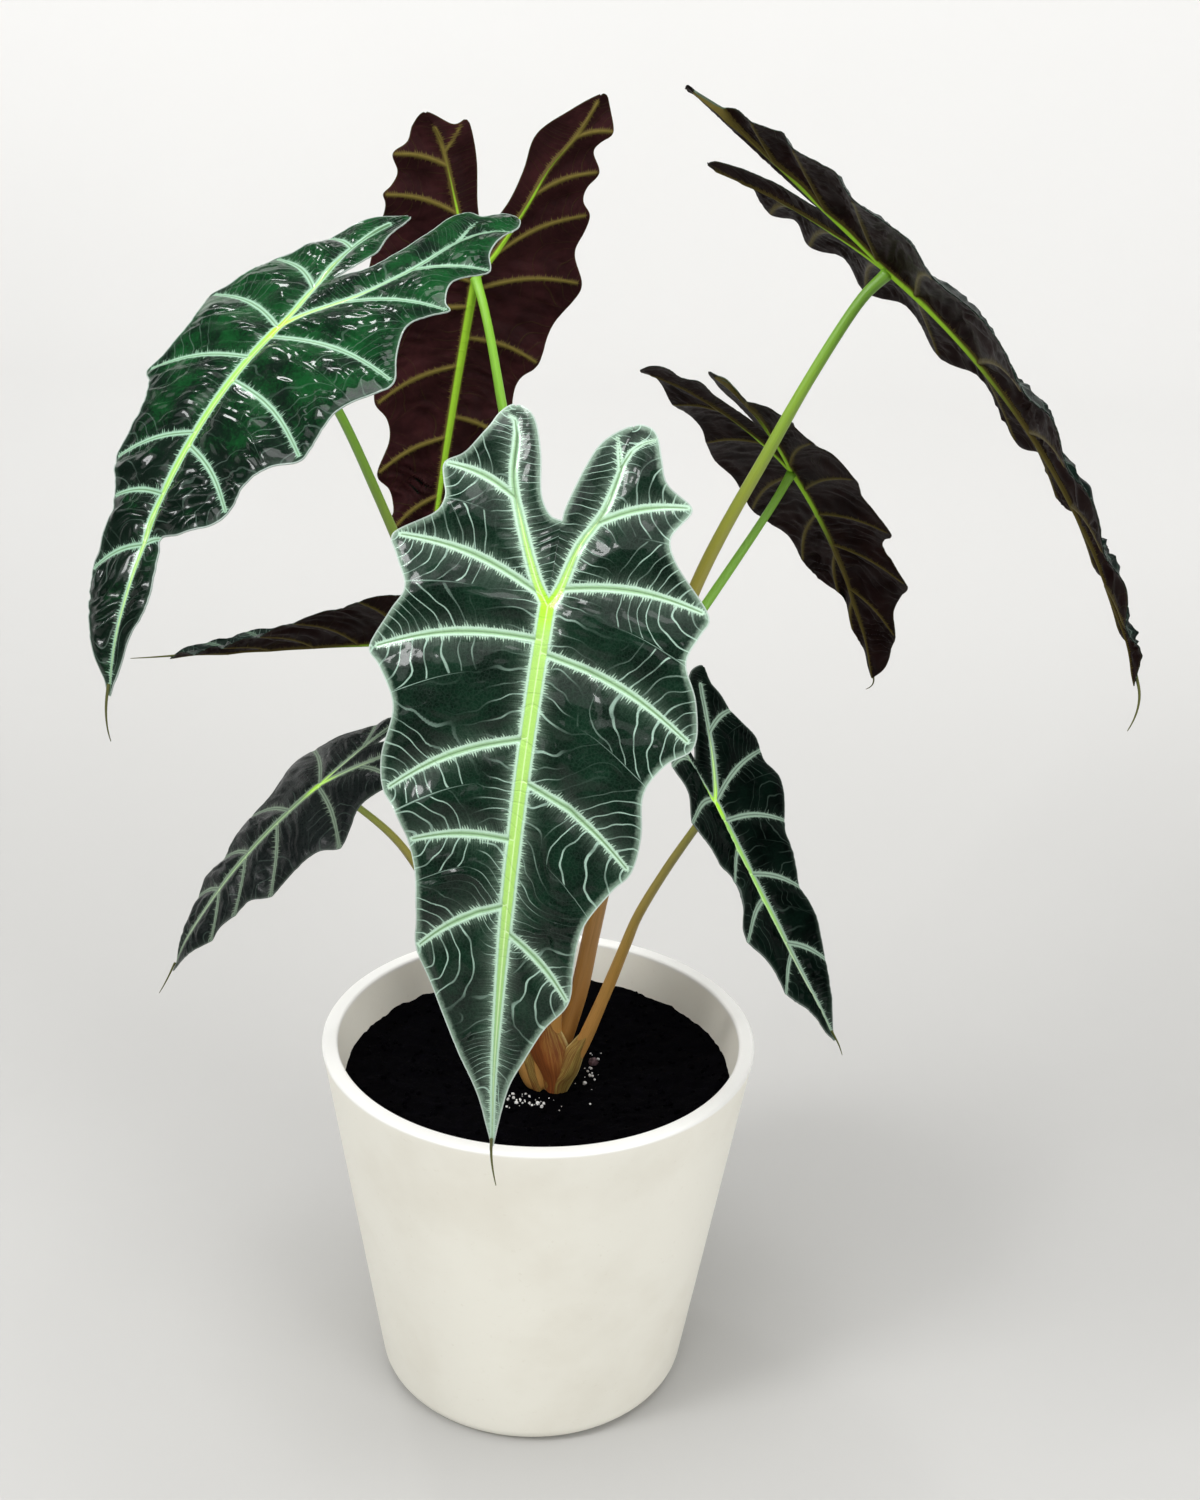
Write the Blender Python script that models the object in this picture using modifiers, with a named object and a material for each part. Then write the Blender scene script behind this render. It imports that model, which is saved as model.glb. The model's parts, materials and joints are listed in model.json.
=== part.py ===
"""A polly alocasia in a round white pot, built as separate solids: pot, soil, crown, and
a petiole and a blade for each of its eight leaves.

Metres, +Z up. The origin is the middle of the pot's flat underside, and -Y is the front.
"""
import math

import bmesh
import bpy
from mathutils import Matrix, Vector, noise
from mathutils.geometry import delaunay_2d_cdt

MM = 0.001
GAP = 0.0003                 # clearance between neighbouring solids

# Pot
POT_RIM_RADIUS = 0.095
POT_BASE_RADIUS = 0.069
POT_HEIGHT = 0.168
POT_WALL = 0.0055
POT_FLOOR = 0.009
POT_FOOT_ROUND = 0.009       # rounding where the side meets the underside
POT_RIM_ROUND = 0.0012
TURN_STEPS = 56              # pot and soil are turned alike, so that their facets stay clear

# Soil, dished towards the crown
SOIL_EDGE_Z = 0.150
SOIL_MIDDLE_Z = 0.1415
SOIL_ROUGHNESS = 0.0009
SOIL_RINGS = 6

# Crown, the short stem that all leaves grow from, standing in a plain hole in the soil
CROWN_X = 0.005
CROWN_Y = 0.001
CROWN_RADIUS = 0.0095
CROWN_TOP_Z = 0.160
CROWN_DEPTH_Z = 0.116
CROWN_HOLE_RADIUS = 0.0175
CROWN_HOLE_DEPTH_Z = 0.1157

# Blades: the lift and the thickness are for a blade this long from hub to tip
FULL_BLADE = 0.176
RIB_THICKNESS = 0.0026       # a rib stands out of the underside by the difference
WEB_THICKNESS = 0.0011
PUFF = 0.0024                # how far the panels between the ribs swell upward
PUFF_REACH = 0.008           # distance from a rib at which most of the swelling is reached
MARGIN_PUFF = 0.3            # share of the swelling that is left at the margin
THREAD_HALF_WIDTH = 0.0006   # the drip thread past the tip
BAY_POINTS = 3               # margin points in each bay between two rib ends
VEIN_STEPS = 3
VEIN_SAG = 0.07              # side ribs arch towards the hub by this share of their length
MIDRIB_HALF_WIDTH = 0.0028
MIDRIB_STEP = 0.030          # a longer stretch of midrib between two ribs gets a point halfway

# Colours are linear
POT_WHITE = (0.80, 0.78, 0.72)
SOIL_BLACK = (0.010, 0.008, 0.007)
SHEATH_BROWN = (0.30, 0.13, 0.04)
STALK_GREEN = (0.30, 0.42, 0.06)
BLADE_GREEN = (0.012, 0.050, 0.025)


class Leaf:
    """One leaf. Its blade is laid out flat, in millimetres from the hub, where the petiole
    joins it: the first number is across, away from the midrib, the second along it towards
    the tip. Each row of a side is a rib: its foot (along the midrib, or, when negative, out
    along the back lobe's rib), the two numbers of its end on the margin, and the depth of the
    bay up to the next row's end, as a share of the distance between them.
    """

    def __init__(self, name, hub, tip_way, face_way, length, droop, lobe_droop, fold, cup,
                 twist, sweep, thread, notch, left_lobe, left, right_lobe, right, stalk, radii,
                 lobe_twist=0.0):
        self.name = name
        self.hub = Vector(hub) * MM
        along = Vector(tip_way).normalized()
        face = Vector(face_way)
        face = (face - along * face.dot(along)).normalized()
        self.across, self.along, self.face = along.cross(face), along, face
        self.length = length * MM
        self.droop, self.lobe_droop = droop, lobe_droop
        self.fold, self.cup = fold, cup
        self.twist, self.lobe_twist = twist, lobe_twist
        self.sweep = sweep * MM  # how far the tip is swept sideways, to the left
        self.thread = thread * MM
        self.notch = notch * MM
        self.sides = ((1, Vector(left_lobe) * MM, left), (-1, Vector(right_lobe) * MM, right))
        self.stalk = [Vector(p) * MM for p in stalk]
        self.radii = [r * MM for r in radii]


def common_pattern(scale, lobe):
    """The rows of an even blade, for a leaf whose ribs can't be told apart."""
    rows = ((-33, 9, -50, 0.0), (-68, 22, -67, -0.12), (-40, 35, -45, 0.22), (-22, 43, -31, 0.18))
    back = [(a * lobe, b, c * lobe, d) for a, b, c, d in rows]
    rows = ((-4, 52, -10, 0.18), (13, 56, 25, 0.16), (45, 48, 70, 0.13), (75, 37, 97, 0.10),
            (104, 26, 126, 0.05), (134, 14, 151, 0.0))
    rows = back + list(rows)
    return [tuple(scale * v for v in row[:3]) + row[3:] for row in rows]


LEAVES = [
    Leaf("front", hub=(4, -140, 407), tip_way=(-0.13, -0.35, -0.93), face_way=(-0.16, -0.91, 0.37),
         length=176, droop=0.41, lobe_droop=0.25, fold=0.06, cup=0.30, twist=0.0, sweep=0,
         thread=28, notch=28,
         left_lobe=(23, -58),
         left=[(-38, 11, -52, 0.0), (-61, 20, -64, -0.04), (-37, 42, -42, 0.28), (-4, 55, -16, 0.22),
               (11, 57, 22, 0.15), (43, 45, 68, 0.10), (77, 35, 84, 0.07), (99, 28, 119, 0.03),
               (135, 15, 145, 0.0)],
         right_lobe=(22, -56),
         right=[(-34, 8, -51, 0.0), (-59, 18, -62, -0.13), (-31, 41, -38, 0.24), (-7, 52, -5, 0.16),
                (15, 54, 36, 0.18), (57, 40, 81, 0.12), (108, 25, 130, 0.04), (136, 10, 156, 0.0)],
         stalk=[(6, -5, 148), (6, -8, 180), (5, -14, 225), (4, -30, 300), (4, -60, 362),
                (4, -100, 397), (4, -126, 405), (4, -140, 407)],
         radii=(4.2, 3.9, 3.6, 3.2, 2.9, 2.6, 2.5, 2.5)),
    Leaf("upper_left", hub=(-92, -70, 482), tip_way=(-0.50, -0.72, -0.48),
         face_way=(-0.26, -0.40, 0.88), length=144, droop=0.78, lobe_droop=0.40, fold=0.0,
         cup=0.38, twist=-0.12, lobe_twist=-0.12, sweep=-5, thread=16, notch=31,
         left_lobe=(11, -78),
         left=[(-44, 4, -62, 0.0), (-78, 10, -85, -0.08), (-53, 27, -58, 0.30), (-24, 38, -40, 0.20),
               (1, 51, -16, 0.20), (17, 45, 28, 0.20), (51, 32, 65, 0.15), (75, 25, 79, 0.16),
               (93, 20, 105, -0.04)],
         right_lobe=(25, -92),
         right=[(-45, 5, -70, 0.0), (-70, 8, -92, -0.08), (-94, 27, -104, 0.05),
                (-52, 46, -61, 0.22), (-22, 51, -31, 0.20), (6, 58, 11, 0.06), (28, 47, 52, 0.12),
                (56, 29, 76, 0.10), (93, 16, 98, 0.08), (117, 10, 121, 0.0)],
         stalk=[(1, -3, 148), (-3, -4, 180), (-10, -6, 222), (-24, -12, 290), (-39, -21, 345),
                (-52, -30, 384), (-63, -43, 418), (-73, -55, 447), (-84, -65, 471), (-92, -70, 482)],
         radii=(4.0, 3.7, 3.3, 2.7, 2.3, 2.0, 1.8, 1.7, 1.7, 1.7)),
    Leaf("back", hub=(-35, 55, 485), tip_way=(-0.18, 0.15, -0.97), face_way=(-0.22, 0.96, 0.19),
         length=142, droop=0.20, lobe_droop=-0.19, fold=0.08, cup=0.30, twist=0.0, sweep=0, thread=9,
         notch=17,
         left_lobe=(34, -76),
         left=[(-48, 14, -60, 0.0), (-82, 33, -80, -0.19), (-68, 43, -66, 0.28), (-40, 41, -50, 0.22),
               (-12, 41, -33, 0.15), (5, 44, -4, 0.08), (25, 34, 33, 0.15), (59, 27, 68, 0.06),
               (96, 13, 112, 0.0)],
         right_lobe=(28, -56),
         right=[(-45, 14, -61, 0.12), (-62, 30, -61, -0.10), (-46, 41, -43, 0.26),
                (-27, 43, -27, 0.10), (2, 43, 3, 0.22), (12, 39, 29, 0.18), (37, 32, 58, 0.18),
                (68, 27, 88, 0.15), (94, 18, 112, -0.05)],
         stalk=[(3, 6, 148), (3, 11, 190), (3, 16, 240), (1, 22, 310), (-7, 27, 375),
                (-19, 31, 424), (-27, 42, 460), (-31, 48, 475), (-34, 52.5, 483), (-35, 55, 485)],
         radii=(4.0, 3.7, 3.4, 2.8, 2.3, 2.0, 1.8, 1.8, 1.8, 1.8)),
    Leaf("upper_right", hub=(125, 1, 500), tip_way=(0.74, -0.38, -0.55), face_way=(0.65, 0.16, 0.75),
         length=189, droop=0.61, lobe_droop=0.30, fold=0.10, cup=0.70, twist=-0.03, sweep=0,
         lobe_twist=-0.36, thread=16, notch=34,
         left_lobe=(27, -93), left=common_pattern(1.08, 1.35),
         right_lobe=(27, -86), right=common_pattern(1.08, 1.24),
         stalk=[(8, 0, 148), (10, 1, 163), (15, 2, 193), (20, 3, 215), (25, 4, 240), (37, 5, 300),
                (59, 5, 374), (85, 4, 431), (99, 3, 460), (114, 2, 487), (125, 1, 500)],
         radii=(4.6, 4.3, 4.0, 3.8, 3.6, 3.1, 2.7, 2.4, 2.2, 2.1, 2.1)),
    Leaf("middle_right", hub=(102, 80, 405), tip_way=(0.47, 0.58, -0.67), face_way=(0.39, 0.54, 0.74),
         length=144, droop=0.42, lobe_droop=0.50, fold=0.0, cup=0.40, twist=-0.10, lobe_twist=-0.10,
         sweep=0, thread=12, notch=39,
         left_lobe=(14, -97),
         left=[(-60, 6, -76, 0.0), (-98, 15, -104, -0.05), (-56, 17, -75, 0.16), (-27, 22, -51, 0.28),
               (-4, 29, -37, 0.26), (14, 35, -6, 0.17), (32, 38, 33, 0.26), (54, 35, 70, 0.13),
               (84, 20, 110, 0.0)],
         right_lobe=(17, -97),
         right=[(-60, 9, -87, 0.0), (-98, 19, -102, -0.06), (-55, 34, -55, 0.15), (-24, 40, -15, 0.10),
                (2, 34, 34, 0.11), (32, 22, 73, 0.05), (60, 11, 94, 0.05), (93, 4, 114, 0.0)],
         stalk=[(8, 6, 148), (10, 10, 185), (15, 17, 230), (27, 27, 280), (46, 41, 322),
                (67, 55, 352), (91, 71, 387), (102, 80, 405)],
         radii=(3.6, 3.4, 3.1, 2.8, 2.4, 2.1, 1.8, 1.8)),
    Leaf("back_left", hub=(-51, 20, 341), tip_way=(-0.98, 0.16, -0.12),
         face_way=(-0.09, 0.38, 0.92), length=112, droop=0.05, lobe_droop=0.25, fold=0.46, cup=0.30,
         twist=0.0, sweep=0, thread=12, notch=19,
         left_lobe=(13, -36), left=common_pattern(0.54, 1.0),
         right_lobe=(15, -38), right=common_pattern(0.72, 0.9),
         stalk=[(-4, 4, 148), (-9, 6, 175), (-18, 9, 215), (-31, 13, 262), (-43, 17, 305),
                (-51, 20, 341)],
         radii=(3.4, 3.1, 2.7, 2.3, 2.0, 1.8)),
    Leaf("lower_left", hub=(-86, -50, 304), tip_way=(-0.75, -0.14, -0.64),
         face_way=(-0.56, -0.37, 0.74), length=102, droop=0.47, lobe_droop=0.50, fold=-0.10,
         cup=0.46, twist=0.10, lobe_twist=0.10, sweep=0, thread=8, notch=27,
         left_lobe=(6, -42),
         left=[(-32, 3, -42, 0.0), (-44, 7, -50, -0.10), (-22, 18, -28, 0.10), (0, 31, 0, 0.12),
               (16, 27, 38, 0.13), (40, 21, 58, 0.10), (60, 15, 76, 0.06)],
         right_lobe=(13, -41),
         right=[(-32, 8, -42, 0.0), (-43, 17, -49, -0.10), (-18, 23, -27, 0.10), (1, 32, 5, 0.12),
                (23, 25, 40, 0.10), (42, 18, 60, 0.08), (60, 11, 76, 0.04)],
         stalk=[(-4, -4, 147), (-12, -9, 171), (-20, -14, 193), (-32, -22, 223), (-45, -31, 252),
                (-57, -38, 275), (-71, -45, 292), (-82, -49, 301), (-86, -50, 304)],
         radii=(3.2, 2.8, 2.5, 2.1, 1.8, 1.6, 1.4, 1.3, 1.3)),
    Leaf("lower_right", hub=(68, -50, 302), tip_way=(0.47, -0.29, -0.83), face_way=(0.74, -0.32, 0.57),
         length=105, droop=-0.05, lobe_droop=-0.10, fold=0.25, cup=0.32, twist=-0.20,
         lobe_twist=-0.20, sweep=0, thread=10, notch=19,
         left_lobe=(12, -42),
         left=[(-32, 6, -42, 0.0), (-44, 14, -50, -0.10), (-21, 27, -26, 0.12), (-2, 31, 0, 0.12),
               (20, 28, 28, 0.12), (42, 23, 50, 0.10), (66, 14, 76, 0.05)],
         right_lobe=(27, -45),
         right=[(-34, 14, -38, 0.0), (-52, 34, -49, 0.0), (-30, 39, -29, 0.08), (0, 42, -8, 0.10),
                (8, 34, 22, 0.12), (31, 24, 47, 0.08), (61, 15, 76, 0.05)],
         stalk=[(10, -3, 146), (13, -4, 153), (19, -7, 166), (29, -14, 198), (36, -22, 224),
                (41, -28, 242), (51, -37, 267), (62, -46, 291), (68, -50, 302)],
         radii=(4.6, 4.0, 3.2, 2.6, 2.3, 2.0, 1.8, 1.6, 1.6)),
]

# The part of each petiole that its brown sheath wraps, fused into the crown, up to this height
SHEATH_TOP_Z = {"front": 0.176, "upper_left": 0.180, "back": 0.190, "upper_right": 0.196,
                "middle_right": 0.190, "back_left": 0.178, "lower_left": 0.163,
                "lower_right": 0.163}
SHEATH_WALL = 0.0014


def make_material(name, colour, roughness):
    material = bpy.data.materials.new(name)
    material.use_nodes = True
    shader = material.node_tree.nodes["Principled BSDF"]
    shader.inputs["Base Color"].default_value = (*colour, 1.0)
    shader.inputs["Roughness"].default_value = roughness
    shader.inputs["Metallic"].default_value = 0.0
    return material


def make_object(name, mesh, collection, material=None):
    item = bpy.data.objects.new(name, mesh)
    collection.objects.link(item)
    if material is not None:
        mesh.materials.clear()
        mesh.materials.append(material)
    return item


def hide_cutter(item):
    item.hide_render = True
    item.display_type = "WIRE"
    return item


def as_mesh(item, name, collection, material=None):
    """Turns an object with its modifiers, or a curve, into a plain mesh object."""
    bpy.context.view_layer.update()
    depsgraph = bpy.context.evaluated_depsgraph_get()
    mesh = bpy.data.meshes.new_from_object(item.evaluated_get(depsgraph))
    bm = bmesh.new()
    bm.from_mesh(mesh)
    bmesh.ops.remove_doubles(bm, verts=bm.verts, dist=1e-6)
    bm.to_mesh(mesh)
    bm.free()
    mesh.transform(item.matrix_world)
    bpy.data.objects.remove(item)
    return make_object(name, mesh, collection, material)


def add_boolean(item, cutter, operation="DIFFERENCE"):
    modifier = item.modifiers.new(operation.title(), "BOOLEAN")
    modifier.operation = operation
    modifier.object = cutter
    modifier.solver = "EXACT"
    return modifier


def turned(name, profile, steps, collection, material=None):
    """Turns an (x, z) profile about the Z axis. It starts on the axis at the top, runs out and
    down the outer side, and ends on the axis at the bottom."""
    mesh = bpy.data.meshes.new(name)
    points = [(x, 0.0, z) for x, z in profile]
    mesh.from_pydata(points, [(i, i + 1) for i in range(len(points) - 1)], [])
    item = make_object(name, mesh, collection, material)
    screw = item.modifiers.new("Turn", "SCREW")
    screw.steps = steps
    screw.render_steps = steps
    screw.use_merge_vertices = True
    screw.merge_threshold = 0.00005
    screw.use_smooth_shade = True
    return item


def arc(centre_x, centre_z, radius, start, end, steps):
    """Points on an arc in the profile's plane, angles in degrees from +X towards +Z."""
    angles = [math.radians(start + (end - start) * i / steps) for i in range(steps + 1)]
    return [(centre_x + radius * math.cos(a), centre_z + radius * math.sin(a)) for a in angles]


def pot_side_radius(z):
    return POT_BASE_RADIUS + (POT_RIM_RADIUS - POT_BASE_RADIUS) * z / POT_HEIGHT


def build_pot(parts):
    inner_floor = pot_side_radius(POT_FLOOR) - POT_WALL
    slope = math.degrees(math.atan2(POT_RIM_RADIUS - POT_BASE_RADIUS, POT_HEIGHT))
    foot_x = pot_side_radius(POT_FOOT_ROUND) - POT_FOOT_ROUND / math.cos(math.radians(slope))
    profile = [(0.0, POT_FLOOR), (inner_floor - 0.006, POT_FLOOR), (inner_floor, POT_FLOOR + 0.004)]
    profile += arc(POT_RIM_RADIUS - POT_WALL + POT_RIM_ROUND, POT_HEIGHT - POT_RIM_ROUND,
                   POT_RIM_ROUND, 180, 90, 2)
    profile += arc(POT_RIM_RADIUS - POT_RIM_ROUND, POT_HEIGHT - POT_RIM_ROUND,
                   POT_RIM_ROUND, 90, 0, 2)
    profile += arc(foot_x, POT_FOOT_ROUND, POT_FOOT_ROUND, -slope, -90, 4)
    profile += [(0.0, 0.0)]
    material = make_material("pot_white", POT_WHITE, 0.45)
    return turned("pot", profile, TURN_STEPS, parts, material)


def soil_height(x, y):
    share = math.hypot(x, y) / POT_RIM_RADIUS
    rise = (SOIL_EDGE_Z - SOIL_MIDDLE_Z) * share ** 2
    bumps = noise.noise(Vector((x, y, 0.0)) * 110.0) + 0.6 * noise.noise(Vector((x, y, 0.3)) * 260.0)
    return SOIL_MIDDLE_Z + rise + SOIL_ROUGHNESS * bumps


def build_soil(parts, cutters):
    """Soil that fills the pot, with a plain hole for the crown."""
    side = POT_WALL + GAP
    edge = pot_side_radius(SOIL_EDGE_Z) - side
    lowest = POT_FLOOR + GAP
    bottom = pot_side_radius(lowest) - side
    rings = [edge * i / SOIL_RINGS for i in range(SOIL_RINGS + 1)]
    profile = [(r, SOIL_EDGE_Z) for r in rings]
    profile += [(bottom, lowest + 0.0045), (bottom - 0.0065, lowest), (0.0, lowest)]
    turned_soil = turned("soil", profile, TURN_STEPS, parts)
    soil = as_mesh(turned_soil, "soil", parts, make_material("soil_black", SOIL_BLACK, 0.95))
    for vertex in soil.data.vertices:
        x, y, z = vertex.co
        if z > SOIL_EDGE_Z - MM:
            vertex.co.z = soil_height(x, y)
    bpy.ops.mesh.primitive_cylinder_add(vertices=20, radius=CROWN_HOLE_RADIUS, depth=0.06,
                                        location=(CROWN_X, CROWN_Y, CROWN_HOLE_DEPTH_Z + 0.03))
    hole = hide_cutter(bpy.context.object)
    hole.name = "crown_hole"
    bpy.context.collection.objects.unlink(hole)
    cutters.objects.link(hole)
    add_boolean(soil, hole)
    return soil


def tube(name, points, radii, collection, grow=0.0):
    """A round stalk through the points, its radius given at each, with closed ends."""
    curve = bpy.data.curves.new(name, "CURVE")
    curve.dimensions = "3D"
    curve.bevel_depth = 1.0
    curve.bevel_resolution = 2
    curve.resolution_u = 3
    curve.render_resolution_u = 0
    curve.use_fill_caps = True
    spline = curve.splines.new("BEZIER")
    spline.bezier_points.add(len(points) - 1)
    for knot, point, radius in zip(spline.bezier_points, points, radii):
        knot.co = point
        knot.radius = radius + grow
        knot.handle_left_type = "AUTO"
        knot.handle_right_type = "AUTO"
    item = bpy.data.objects.new(name, curve)
    collection.objects.link(item)
    return as_mesh(item, name, collection)


def sheath_points(leaf, grow):
    """The petiole's lowest stretch, up to the top of its sheath, sunk into the crown's core."""
    top = SHEATH_TOP_Z[leaf.name]
    low = [i for i, p in enumerate(leaf.stalk) if p.z < top - 0.004]
    last = low[-1]
    a, b = leaf.stalk[last], leaf.stalk[last + 1]
    t = (top - a.z) / (b.z - a.z)
    radius = leaf.radii[last] + t * (leaf.radii[last + 1] - leaf.radii[last])
    core = Vector((CROWN_X, CROWN_Y, SOIL_MIDDLE_Z - 0.010))
    foot = core.lerp(leaf.stalk[0], 0.35)
    end = a.lerp(b, t) + (b - a).normalized() * grow
    points = [foot] + [leaf.stalk[i] for i in low] + [end]
    radii = [CROWN_RADIUS * 0.5] + [leaf.radii[i] + SHEATH_WALL for i in low]
    return points, radii + [radius + 0.0005]


def build_crown(name, parts, grow=0.0):
    """The stem base with a sheath round the foot of each petiole, all one solid."""
    profile = [(0.0, CROWN_TOP_Z + grow), (CROWN_RADIUS * 0.55 + grow, CROWN_TOP_Z - 0.004 + grow),
               (CROWN_RADIUS + grow, SOIL_MIDDLE_Z + 0.004),
               (CROWN_RADIUS * 1.1 + grow, SOIL_MIDDLE_Z - 0.010),
               (CROWN_RADIUS * 0.9 + grow, CROWN_DEPTH_Z - grow), (0.0, CROWN_DEPTH_Z - grow)]
    core = turned(name + "_core", profile, 16, parts)
    crown = as_mesh(core, name, parts)
    crown.data.transform(Matrix.Translation((CROWN_X, CROWN_Y, 0.0)))
    for leaf in LEAVES:
        points, radii = sheath_points(leaf, grow)
        sheath = tube(name + "_sheath", points, radii, parts, grow)
        add_boolean(crown, sheath, "UNION")
        crown = as_mesh(crown, name, parts)
        bpy.data.objects.remove(sheath)
    return crown


def margin(rows, notch, length, side):
    """The blade's edge on one side, from the notch round the back lobe to the tip."""
    stops = [((0.0, -notch), 0.0)] + [((row[1] * MM, row[2] * MM), row[3]) for row in rows]
    stops.append(((THREAD_HALF_WIDTH, length), 0.0))
    points = []
    for (start, bay), (end, _) in zip(stops, stops[1:]):
        start, end = Vector(start), Vector(end)
        chord = end - start
        inward = Vector((-chord.y, chord.x))
        steps = BAY_POINTS + 1 if chord.length > 0.010 else 2
        for i in range(steps):
            t = i / steps
            bend = bay * math.sin(math.pi * t) ** 1.4
            points.append(start + chord * t + inward * bend)
    points.append(Vector(stops[-1][0]))
    return [Vector((side * p.x, p.y)) for p in points]


def rib_foot(station, lobe, side):
    """A place on the midrib, or on the back lobe's rib when the station is negative."""
    if station >= 0:
        return Vector((0.0, station))
    t = min(-station / lobe.length, 1.0)
    bow = 0.05 * math.sin(math.pi * t)
    point = lobe * t + Vector((-lobe.y, lobe.x)) * bow
    return Vector((side * point.x, point.y))


def rib_path(foot, end, side):
    """A side rib from its foot to the margin, arched towards the hub."""
    chord = end - foot
    outward = Vector((chord.y, -chord.x)) * side
    return [foot + chord * (i / VEIN_STEPS) + outward * VEIN_SAG * math.sin(math.pi * i / VEIN_STEPS)
            for i in range(VEIN_STEPS + 1)]


def distance_to_path(point, path):
    best = 1.0
    for a, b in zip(path, path[1:]):
        span = b - a
        t = max(0.0, min(1.0, (point - a).dot(span) / max(span.length_squared, 1e-12)))
        best = min(best, (a + span * t - point).length)
    return best


def bent(leaf, x, y, lift):
    """Carries a place on the flat blade to where it lies on the bent blade."""
    length = leaf.length
    side = leaf.sweep * (y / length) ** 2 if y > 0 else 0.0
    if y >= 0:
        turn, rate = leaf.droop * y / length, leaf.droop / length
        ahead = math.sin(turn) / rate
        below = -(1.0 - math.cos(turn)) / rate
        lean = turn
    else:
        turn, rate = -leaf.lobe_droop * y / length, leaf.lobe_droop / length
        ahead = -math.sin(turn) / rate
        below = -(1.0 - math.cos(turn)) / rate
        lean = -turn
    wide = abs(x) / length
    start, end = leaf.fold, leaf.fold - leaf.cup * wide
    out = length * (math.sin(start) - math.sin(end)) / leaf.cup
    up = length * (math.cos(end) - math.cos(start)) / leaf.cup
    out = math.copysign(out, x) - math.copysign(math.sin(end), x) * lift
    up += math.cos(end) * lift
    roll = (leaf.twist if y > 0 else leaf.lobe_twist) * y / length
    out, up = out * math.cos(roll) - up * math.sin(roll), out * math.sin(roll) + up * math.cos(roll)
    return (leaf.hub + leaf.across * (out + side) + leaf.along * (ahead + up * math.sin(lean))
            + leaf.face * (below + up * math.cos(lean)))


def lay_out_blade(leaf):
    """The flat blade's points and edges: its outline, ribs, and a swelling point in each panel."""
    points, edges = [], []

    def place(p):
        for i, q in enumerate(points):
            if (q - p).length < 0.0002:
                return i
        points.append(Vector(p))
        return len(points) - 1

    def chain(path, closed=False):
        ids = [place(p) for p in path]
        ids = [a for a, b in zip(ids, ids[1:] + [None]) if a != b]
        edges.extend(zip(ids, ids[1:]))
        if closed:
            edges.append((ids[-1], ids[0]))

    left = margin(leaf.sides[0][2], leaf.notch, leaf.length, 1)
    right = margin(leaf.sides[1][2], leaf.notch, leaf.length, -1)
    end = Vector((0.0, leaf.length + leaf.thread))
    half = leaf.length + leaf.thread * 0.5
    thread = [Vector((THREAD_HALF_WIDTH, half)), end + Vector((THREAD_HALF_WIDTH * 0.8, 0.0)),
              end - Vector((THREAD_HALF_WIDTH * 0.8, 0.0)), Vector((-THREAD_HALF_WIDTH, half))]
    chain(left + thread + right[:0:-1], closed=True)
    ribs, stations = [], {0.0}
    for side, lobe, rows in leaf.sides:
        rib = [rib_foot(-lobe.length * i / 4, lobe, side) for i in range(5)]
        ribs.append((rib, 0.75))
        chain(rib)
        paths = []
        for station, across, along, _ in rows:
            tip_row = station * MM <= -lobe.length * 0.93
            foot = rib_foot(station * MM, lobe, side)
            path = rib_path(foot, Vector((side * across * MM, along * MM)), side)
            inner = along * MM < -leaf.notch and across * MM < abs(foot.x)
            if station > 0:
                stations.add(station * MM)
            if not tip_row and not inner:
                ribs.append((path, 0.55))
                chain(path)
            paths.append(path)
        for a, b in zip(paths, paths[1:]):
            for share in range(1, VEIN_STEPS):
                middle = (a[share] + b[share]) * 0.5
                if distance_to_path(middle, left + right[::-1]) > 0.003:
                    place(middle)
    steps = sorted(stations)
    kept = [steps[0]]
    for s in steps[1:]:
        if s - kept[-1] > MIDRIB_STEP:
            kept.append((kept[-1] + s) * 0.5)
        kept.append(s)
    midrib = [Vector((0.0, s)) for s in kept] + [Vector((0.0, leaf.length * 0.97))]
    chain([Vector((0.0, -leaf.notch)), Vector((0.0, -leaf.notch * 0.5))] + midrib)
    ribs.append((midrib, 1.0))
    for s in kept:
        width = MIDRIB_HALF_WIDTH * (1.0 - 0.6 * s / leaf.length)
        for side in (1, -1):
            beside = Vector((side * width, s))
            if all(distance_to_path(beside, path) > 0.0012 for path, _ in ribs):
                place(beside)
    return points, edges, ribs, left + right[::-1]


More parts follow.
